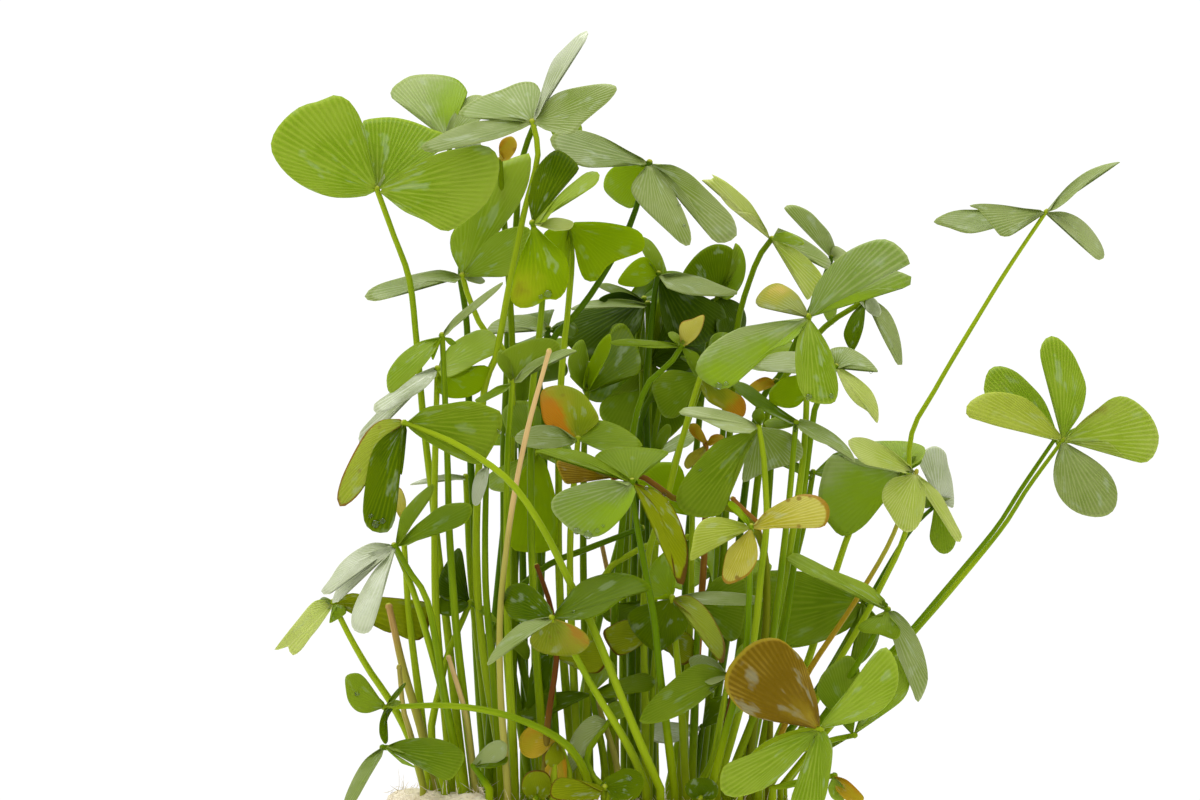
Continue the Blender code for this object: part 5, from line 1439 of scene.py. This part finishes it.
# stalk_shaded is painted shade: the same green, darker, for stalks that stand back in the plant.
finishes["stalk_dark"] = make_stalk("stalk_shaded", (0.05, 0.11, 0.0), (0.16, 0.24, 0.0), (0.16, 0.25, 0.0),
                                    (0.35, 0.50, 0.0))
finishes["dry"] = make_stalk("stalk_dry", (0.34, 0.20, 0.05), (0.66, 0.46, 0.19), (0.30, 0.33, 0.03),
                             (0.6, 0.4, 0.10), gloss=0.5, translucency=0.12, foot_reach=0.74)
finishes["straw"] = make_stalk("stalk_straw", (0.24, 0.22, 0.02), (0.50, 0.42, 0.12), (0.24, 0.28, 0.01),
                               (0.6, 0.5, 0.05), gloss=0.5, translucency=0.15, foot_reach=0.5)
finishes["rusty"] = make_stalk("stalk_rusty", (0.12, 0.04, 0.004), (0.36, 0.16, 0.02), (0.24, 0.24, 0.02),
                               (0.5, 0.2, 0.02), gloss=0.45, translucency=0.1)
finishes["rusty_top"] = make_stalk("stalk_rusty_above", (0.12, 0.04, 0.004), (0.36, 0.16, 0.02), (0.13, 0.21, 0.0),
                                   (0.5, 0.2, 0.02), gloss=0.45, translucency=0.1, foot_reach=0.84)
finishes["amber"] = make_stalk("stalk_amber", (0.24, 0.24, 0.01), (0.42, 0.40, 0.05), (0.40, 0.22, 0.005),
                               (0.6, 0.5, 0.02), foot_reach=0.72)
print("finishes:", len(finishes))

# %% [markdown]
# ## Growing the fronds
# Each row of the table becomes one object: stalk, hub and leaflets in one mesh. It takes the
# place of the plain solid of the same name, and rides on the same body.

# %% Fronds, shoots and bare stalks
# Stalks whose hub stands behind DARK_FROM_DEPTH get the darker stalk finish, painted shade, unless they are listed as
# pale.
DARK_FROM_DEPTH = -4.5
STALK_FINISH = {"brown_leaf": "rusty_top", "rust_scrap": "rusty", "right_light": "amber",
                "right_outer": "stalk_dark"}
PALE_STALKS = {"inner_right", "far_right_tall", "far_right_low", "far_right_twin", "right_big",
               "far_left_low"}
STUB_GIRTH = 0.82
STUB_GIRTHS = {"bare_stalk_left": 1.15}
SLIM_STALKS = {"far_right_low", "far_right_twin", "far_right_tall", "right_light", "right_outer"}
SLIM_GIRTH = 0.74
STUB_FINISH = {"bare_stalk_tall": "dry", "bare_stalk_left": "dry", "bare_stalk_brown": "rusty",
               "stub_tan": "dry", "stub_right": "rusty", "stub_pale": "dry", "stub_left": "straw",
               "stub_inner": "dry", "stub_rust": "rusty_top", "stem_crossing": "stalk_dark",
               "stem_pale": "stalk", "stem_dark": "stalk_dark", "stem_darker": "stalk_dark",
               "stem_lime": "stalk"}


def settle(piece, slot, *nodes):
    """The piece rides with the plant, and stands for the nodes that are named."""
    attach(piece, "root")
    if nodes:
        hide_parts(*nodes)


def grow_frond(name, foot, tip, bends, leaves, seed):
    growth = Growth()
    shaded = tip[1] > DARK_FROM_DEPTH and name not in PALE_STALKS
    stalk_finish = STALK_FINISH.get(name, "stalk_dark" if shaded else "stalk")
    girth = SLIM_GIRTH if name in SLIM_STALKS else 1.0
    hub = add_stalk(growth, foot, tip, bends, seed, stalk_finish, girth)
    for index, leaf in enumerate(leaves):
        drawn = OUTLINES.get(name, {}).get(index)
        outline = read_outline(drawn) if drawn else None
        add_leaflet(growth, hub, leaf, seed * 4 + index, FINISH_LETTERS[name][index], outline)
    return growth.make_object("clover_" + name, finishes)


SLOTS = {"yellow_frond": "leaf_yellow", "brown_fan": "leaf_brown"}
for seed, row in enumerate(FRONDS, start=1):
    settle(grow_frond(*row, seed), SLOTS.get(row[0], "leaf_green"), "frond_" + row[0])
for seed, row in enumerate(SHOOTS, start=len(FRONDS) + 1):
    settle(grow_frond(*row, seed), "leaf_green")
for seed, row in enumerate(BARE_STALKS + STUBS, start=100):
    growth = Growth()
    name, foot, tip, bends = row
    girth = 1.0 if name.startswith("stem") else STUB_GIRTHS.get(name, STUB_GIRTH)
    add_stalk(growth, foot, tip, bends, seed, STUB_FINISH[name], girth)
    piece = growth.make_object("clover_" + name, finishes)
    settle(piece, "dry_stalk", *([name] if name.startswith("bare") else []))

# %% [markdown]
# ## The wool
# The plug is mineral wool: stone spun into fibres and pressed into a round block. It is soft to
# look at, cream, matt, and fuzzy where it was cut. A turned profile with thousands of points is
# pushed in and out by noise for the lumps, and short bent fibres stand out of its skin.

# %% Wool plug
WOOL_SIDES = 150
WOOL_ROWS = 60
LUMP = 0.55
WOOL_CHAMFER = 0.8
SAG = 1.5
SAG_RISE = 0.35
SAG_REACH = 8.0


def wool_profile():
    """Radius and height of the plug from the middle of its bottom to the middle of its top."""
    slope = (WOOL_TOP_RADIUS - WOOL_BOTTOM_RADIUS) / WOOL_HEIGHT
    shoulder = WOOL_HEIGHT - WOOL_EDGE_ROUND
    profile = [(WOOL_BOTTOM_RADIUS * part, 0.0) for part in (0.25, 0.5, 0.75, 0.9)]
    profile.append((WOOL_BOTTOM_RADIUS - WOOL_CHAMFER, 0.0))
    for step in range(WOOL_ROWS + 1):
        height = WOOL_CHAMFER + (shoulder - WOOL_CHAMFER) * step / WOOL_ROWS
        profile.append((WOOL_BOTTOM_RADIUS + slope * height, height))
    for step in range(1, 7):
        angle = math.pi / 2 * step / 6
        profile.append((WOOL_TOP_RADIUS - WOOL_EDGE_ROUND * (1 - math.cos(angle)),
                        shoulder + WOOL_EDGE_ROUND * math.sin(angle)))
    inner = profile[-1][0]
    profile += [(inner * (1 - step / 24), WOOL_HEIGHT) for step in range(1, 24)]
    return profile


def wool_push(point):
    """How far the wool's skin stands in or out at a point."""
    coarse = noise.noise(point * 0.16)
    layered = noise.noise(Vector((point.x * 0.5, point.y * 0.5, point.z * 1.5)) + Vector((9.0, 0.0, 0.0)))
    fine = noise.noise(point * 1.9 + Vector((0.0, 5.0, 0.0)))
    return LUMP * (coarse * 0.9 + layered * 0.6 + fine * 0.35 - 0.75)


def wool_sag(point):
    """How far the top of the wool has sunk: it stands a little proud at the left."""
    right = min(1.0, max(0.0, (point.x + 11.8) / 1.6))
    near_top = min(1.0, max(0.0, (point.z - WOOL_HEIGHT + SAG_REACH) / SAG_REACH))
    return near_top * (SAG * right * right * (3.0 - 2.0 * right) - SAG_RISE)


def make_wool():
    growth = Growth()
    rows = []
    for radius, height in wool_profile():
        row = []
        for side in range(WOOL_SIDES):
            angle = 2 * math.pi * side / WOOL_SIDES
            point = Vector((radius * math.cos(angle), radius * math.sin(angle), height))
            if height > 0.0:
                outward = Vector((math.cos(angle), math.sin(angle), 0.0))
                rise = min(1.0, max(0.0, (height - WOOL_HEIGHT + WOOL_EDGE_ROUND) / WOOL_EDGE_ROUND))
                outward = outward * (1.0 - rise) + Vector((0.0, 0.0, 1.0)) * rise
                sag = wool_sag(point)
                point += outward.normalized() * wool_push(point)
                point.z -= sag
            row.append(growth.add_point(point, (side / WOOL_SIDES, height / 100), (0.5, 0.5)))
        rows.append(row)
    growth.add_grid(rows, "wool", closed=True)
    low = growth.add_point(Vector((0.0, 0.0, 0.0)), (0.0, 0.0), (0.5, 0.5))
    high = growth.add_point(Vector((0.0, 0.0, WOOL_HEIGHT - 0.4 - SAG + SAG_RISE)), (0.0, 0.4), (0.5, 0.5))
    for side in range(WOOL_SIDES):
        beside = (side + 1) % WOOL_SIDES
        growth.add_face((rows[0][beside], rows[0][side], low), "wool")
        growth.add_face((rows[-1][side], rows[-1][beside], high), "wool")
    return growth.make_object("wool_block", finishes)


def make_wool_finish():
    material, tree, shader = new_material("mineral_wool", Specular_IOR_Level=0.2, Sheen_Weight=0.35)
    lumps = cloud(tree, 130.0, detail=4.0)
    strands = cloud(tree, 1300.0, detail=3.0, stretch=(1.0, 1.0, 2.6), shift=2.0)
    mats = cloud(tree, 520.0, detail=4.0, stretch=(1.0, 1.0, 1.9), shift=7.0)
    lightness = ((lumps - 0.5) * 0.8 + (strands - 0.5) * 0.9 + (mats - 0.5) * 0.8 + 0.6).step(0.0, 1.0)
    colour = blend_colours(tree, lightness, (0.46, 0.35, 0.17), (0.86, 0.77, 0.55))
    tree.links.new(colour.socket, shader.inputs["Base Color"])
    tree.links.new(((strands - 0.5) * 0.2 + 0.88).socket, shader.inputs["Roughness"])
    relief = add_node(tree, "ShaderNodeBump", None,
                      {"Height": strands + mats * 1.6, "Strength": 0.9, "Distance": 0.0005})
    tree.links.new(relief.socket, shader.inputs["Normal"])
    return material


finishes["wool"] = make_wool_finish()
wool = make_wool()
settle(wool, "mineral_wool", "wool_plug")
print("faces in the wool:", len(wool.data.polygons))

# %% [markdown]
# The fibres are thin bent triangular needles rooted just under the skin. They are scattered by
# a random generator with a fixed seed, so that every run grows the same fuzz.

# %% Wool fibres
FIBRES = 2600
FIBRE_RADIUS = 0.035


def add_fibre(growth, start, direction, length, bend):
    route = [start + direction * (length * part) + bend * (length * part * part) for part in (0.0, 0.35, 0.7, 1.0)]
    rows = []
    side_way = direction.orthogonal().normalized()
    other_way = direction.cross(side_way)
    for point, radius in zip(route, (1.0, 0.9, 0.7, 0.3)):
        row = []
        for side in range(3):
            angle = 2 * math.pi * side / 3
            spoke = side_way * math.cos(angle) + other_way * math.sin(angle)
            row.append(growth.add_point(point + spoke * FIBRE_RADIUS * radius, (0.0, 0.0), (0.5, 0.5)))
        rows.append(row)
    growth.add_grid(rows, "wool", closed=True)
    growth.add_face(tuple(reversed(rows[0])), "wool")
    growth.add_face(tuple(rows[-1]), "wool")


def make_fibres():
    chance = random.Random(7)
    growth = Growth()
    slope = (WOOL_TOP_RADIUS - WOOL_BOTTOM_RADIUS) / WOOL_HEIGHT
    for index in range(FIBRES):
        angle = chance.uniform(0.0, 2 * math.pi)
        on_top = chance.random() < 0.45
        if on_top:
            radius = WOOL_TOP_RADIUS * math.sqrt(chance.random()) * 0.97
            start = Vector((radius * math.cos(angle), radius * math.sin(angle), WOOL_HEIGHT - 0.55))
            outward = Vector((0.0, 0.0, 1.0))
        else:
            height = chance.uniform(2.6, WOOL_HEIGHT - 1.0)
            radius = WOOL_BOTTOM_RADIUS + slope * height - 0.75
            start = Vector((radius * math.cos(angle), radius * math.sin(angle), height))
            outward = Vector((math.cos(angle), math.sin(angle), 0.0))
        loose = Vector([chance.uniform(-1.0, 1.0) for axis in range(3)])
        start.z -= wool_sag(start)
        direction = (outward * 0.45 + loose).normalized()
        bend = Vector([chance.uniform(-0.6, 0.6) for axis in range(3)])
        add_fibre(growth, start, direction, chance.uniform(0.7, 1.9), bend)
    return growth.make_object("wool_fibres", finishes)


fibres = make_fibres()
settle(fibres, "mineral_wool")
print("faces in the fibres:", len(fibres.data.polygons))

# %% [markdown]
# ## Water drops
# The plant has just been lifted out of its tray, so drops hang on some margins. A drop is a
# flattened ball. Where one lies on a leaf is found by looking along the viewer's line until it
# meets a blade, so the drop sits on the skin wherever the leaf leans.

# %% Drops
DROPS = ["376,524,5", "383,521,4", "371,516,3", "577,531,4", "588,535,5", "597,531,3", "603,526,2", "548,294,5",
         "541,297,3", "630,779,3", "719,386,4", "726,384,3", "809,397,4", "831,396,3", "684,226,2", "686,214,2",
         "679,205,2", "499,432,3", "506,434,2", "664,494,3", "668,503,2", "700,470,2", "357,694,3", "728,660,2",
         "871,372,2", "646,488,3", "712,690,3", "574,612,2"]
DROP_SCALE = 0.9
DROP_FLATNESS = 0.55


def add_drop(growth, middle, radius):
    rows = []
    for level in range(1, 6):
        tilt = math.pi * level / 6
        row = []
        for side in range(10):
            angle = 2 * math.pi * side / 10
            step = Vector((math.cos(angle) * math.sin(tilt), -math.cos(tilt) * DROP_FLATNESS,
                           math.sin(angle) * math.sin(tilt)))
            row.append(growth.add_point(middle + step * radius, (0.0, 0.0), (0.5, 0.5)))
        rows.append(row)
    growth.add_grid(rows, "drop", closed=True)
    for ring, end in ((rows[0], -1.0), (rows[-1], 1.0)):
        pole = growth.add_point(middle + Vector((0.0, end * DROP_FLATNESS * radius, 0.0)), (0.0, 0.0), (0.5, 0.5))
        for side in range(10):
            beside = (side + 1) % 10
            order = (ring[side], ring[beside], pole)
            growth.add_face(order if end > 0.0 else tuple(reversed(order)), "drop")


def make_drops():
    bpy.context.view_layer.update()
    depsgraph = bpy.context.evaluated_depsgraph_get()
    eye = Vector((0.0, -VIEW_DISTANCE, VIEW_HEIGHT)) * MM
    growth = Growth()
    for text in DROPS:
        across, down, size = [float(number) for number in text.split(",")]
        aim = Vector((across / 10 - 60.0, 0.0, LEVEL + 80.0 - down / 10)) * MM
        met, point, *rest = bpy.context.scene.ray_cast(depsgraph, eye, (aim - eye).normalized())
        if met:
            add_drop(growth, point / MM, DROP_SCALE * size / 10)
    return growth.make_object("water_drops", finishes)


water, water_tree, water_shader = new_material("water_drop", Roughness=0.03, IOR=1.4,
                                                Transmission_Weight=1.0)
water_shader.inputs["Base Color"].default_value = (0.96, 1.0, 0.94, 1.0)
finishes["drop"] = water
drops = make_drops()
settle(drops, "leaf_green")
print("faces in the drops:", len(drops.data.polygons))

# %% [markdown]
# ## Floor, light and camera
# The plant stands in a white studio. A round pale floor is enough, because the background is
# the bright world itself, which also sends light through the leaves from behind. A wide soft
# panel above gives the waxy leaves their pale sheen.

# %% Studio
def make_floor():
    mesh = bpy.data.meshes.new("studio_floor")
    shape = bmesh.new()
    bmesh.ops.create_circle(shape, cap_ends=True, segments=96, radius=0.7)
    shape.to_mesh(mesh)
    shape.free()
    floor = bpy.data.objects.new("studio_floor", mesh)
    bpy.context.collection.objects.link(floor)
    material, tree, shader = new_material("studio_white", Roughness=0.8, Specular_IOR_Level=0.2)
    tone = cloud(tree, 6.0)
    colour = blend_colours(tree, tone, (0.86, 0.86, 0.86), (0.90, 0.90, 0.90))
    tree.links.new(colour.socket, shader.inputs["Base Color"])
    mesh.materials.append(material)
    floor.location.z = -0.0002
    return floor


def add_panel(name, place, aim, width, height, power):
    lamp = bpy.data.lights.new(name, "AREA")
    lamp.shape = "RECTANGLE"
    lamp.size = width
    lamp.size_y = height
    lamp.energy = power
    panel = bpy.data.objects.new(name, lamp)
    panel.location = place
    panel.rotation_euler = (Vector(aim) - Vector(place)).to_track_quat("-Z", "Y").to_euler()
    bpy.context.collection.objects.link(panel)


make_floor()
world = bpy.data.worlds.new("studio_world")
bpy.context.scene.world = world
world.use_nodes = True
world.node_tree.nodes["Background"].inputs["Color"].default_value = (1.0, 1.0, 1.0, 1.0)
world.node_tree.nodes["Background"].inputs["Strength"].default_value = 1.05
add_panel("panel_above", (-0.10, 0.05, 0.70), (0.0, 0.0, 0.08), 0.6, 0.6, 4.5)
bpy.context.scene.view_settings.view_transform = "Standard"
print("lights:", len(bpy.data.lights))

# %% [markdown]
# The photograph was taken level with the leaves through a long lens, so nearer leaves are
# hardly larger than far ones. The camera is three metres away, and its lens makes the frame
# 120 mm wide at the plant.

# %% Camera
CAMERA_DISTANCE = VIEW_DISTANCE * MM
FRAME_WIDTH = 0.120
SENSOR_WIDTH = 36.0
FRAME_MIDDLE = VIEW_HEIGHT * MM

lens = bpy.data.cameras.new("camera")
lens.sensor_width = SENSOR_WIDTH
lens.lens = SENSOR_WIDTH * CAMERA_DISTANCE / FRAME_WIDTH
lens.clip_start = 0.05
camera = bpy.data.objects.new("camera", lens)
camera.location = (0.0, -CAMERA_DISTANCE, FRAME_MIDDLE)
camera.rotation_euler = (math.radians(90.0), 0.0, 0.0)
bpy.context.collection.objects.link(camera)
bpy.context.scene.camera = camera
print("lens:", round(lens.lens), "mm")
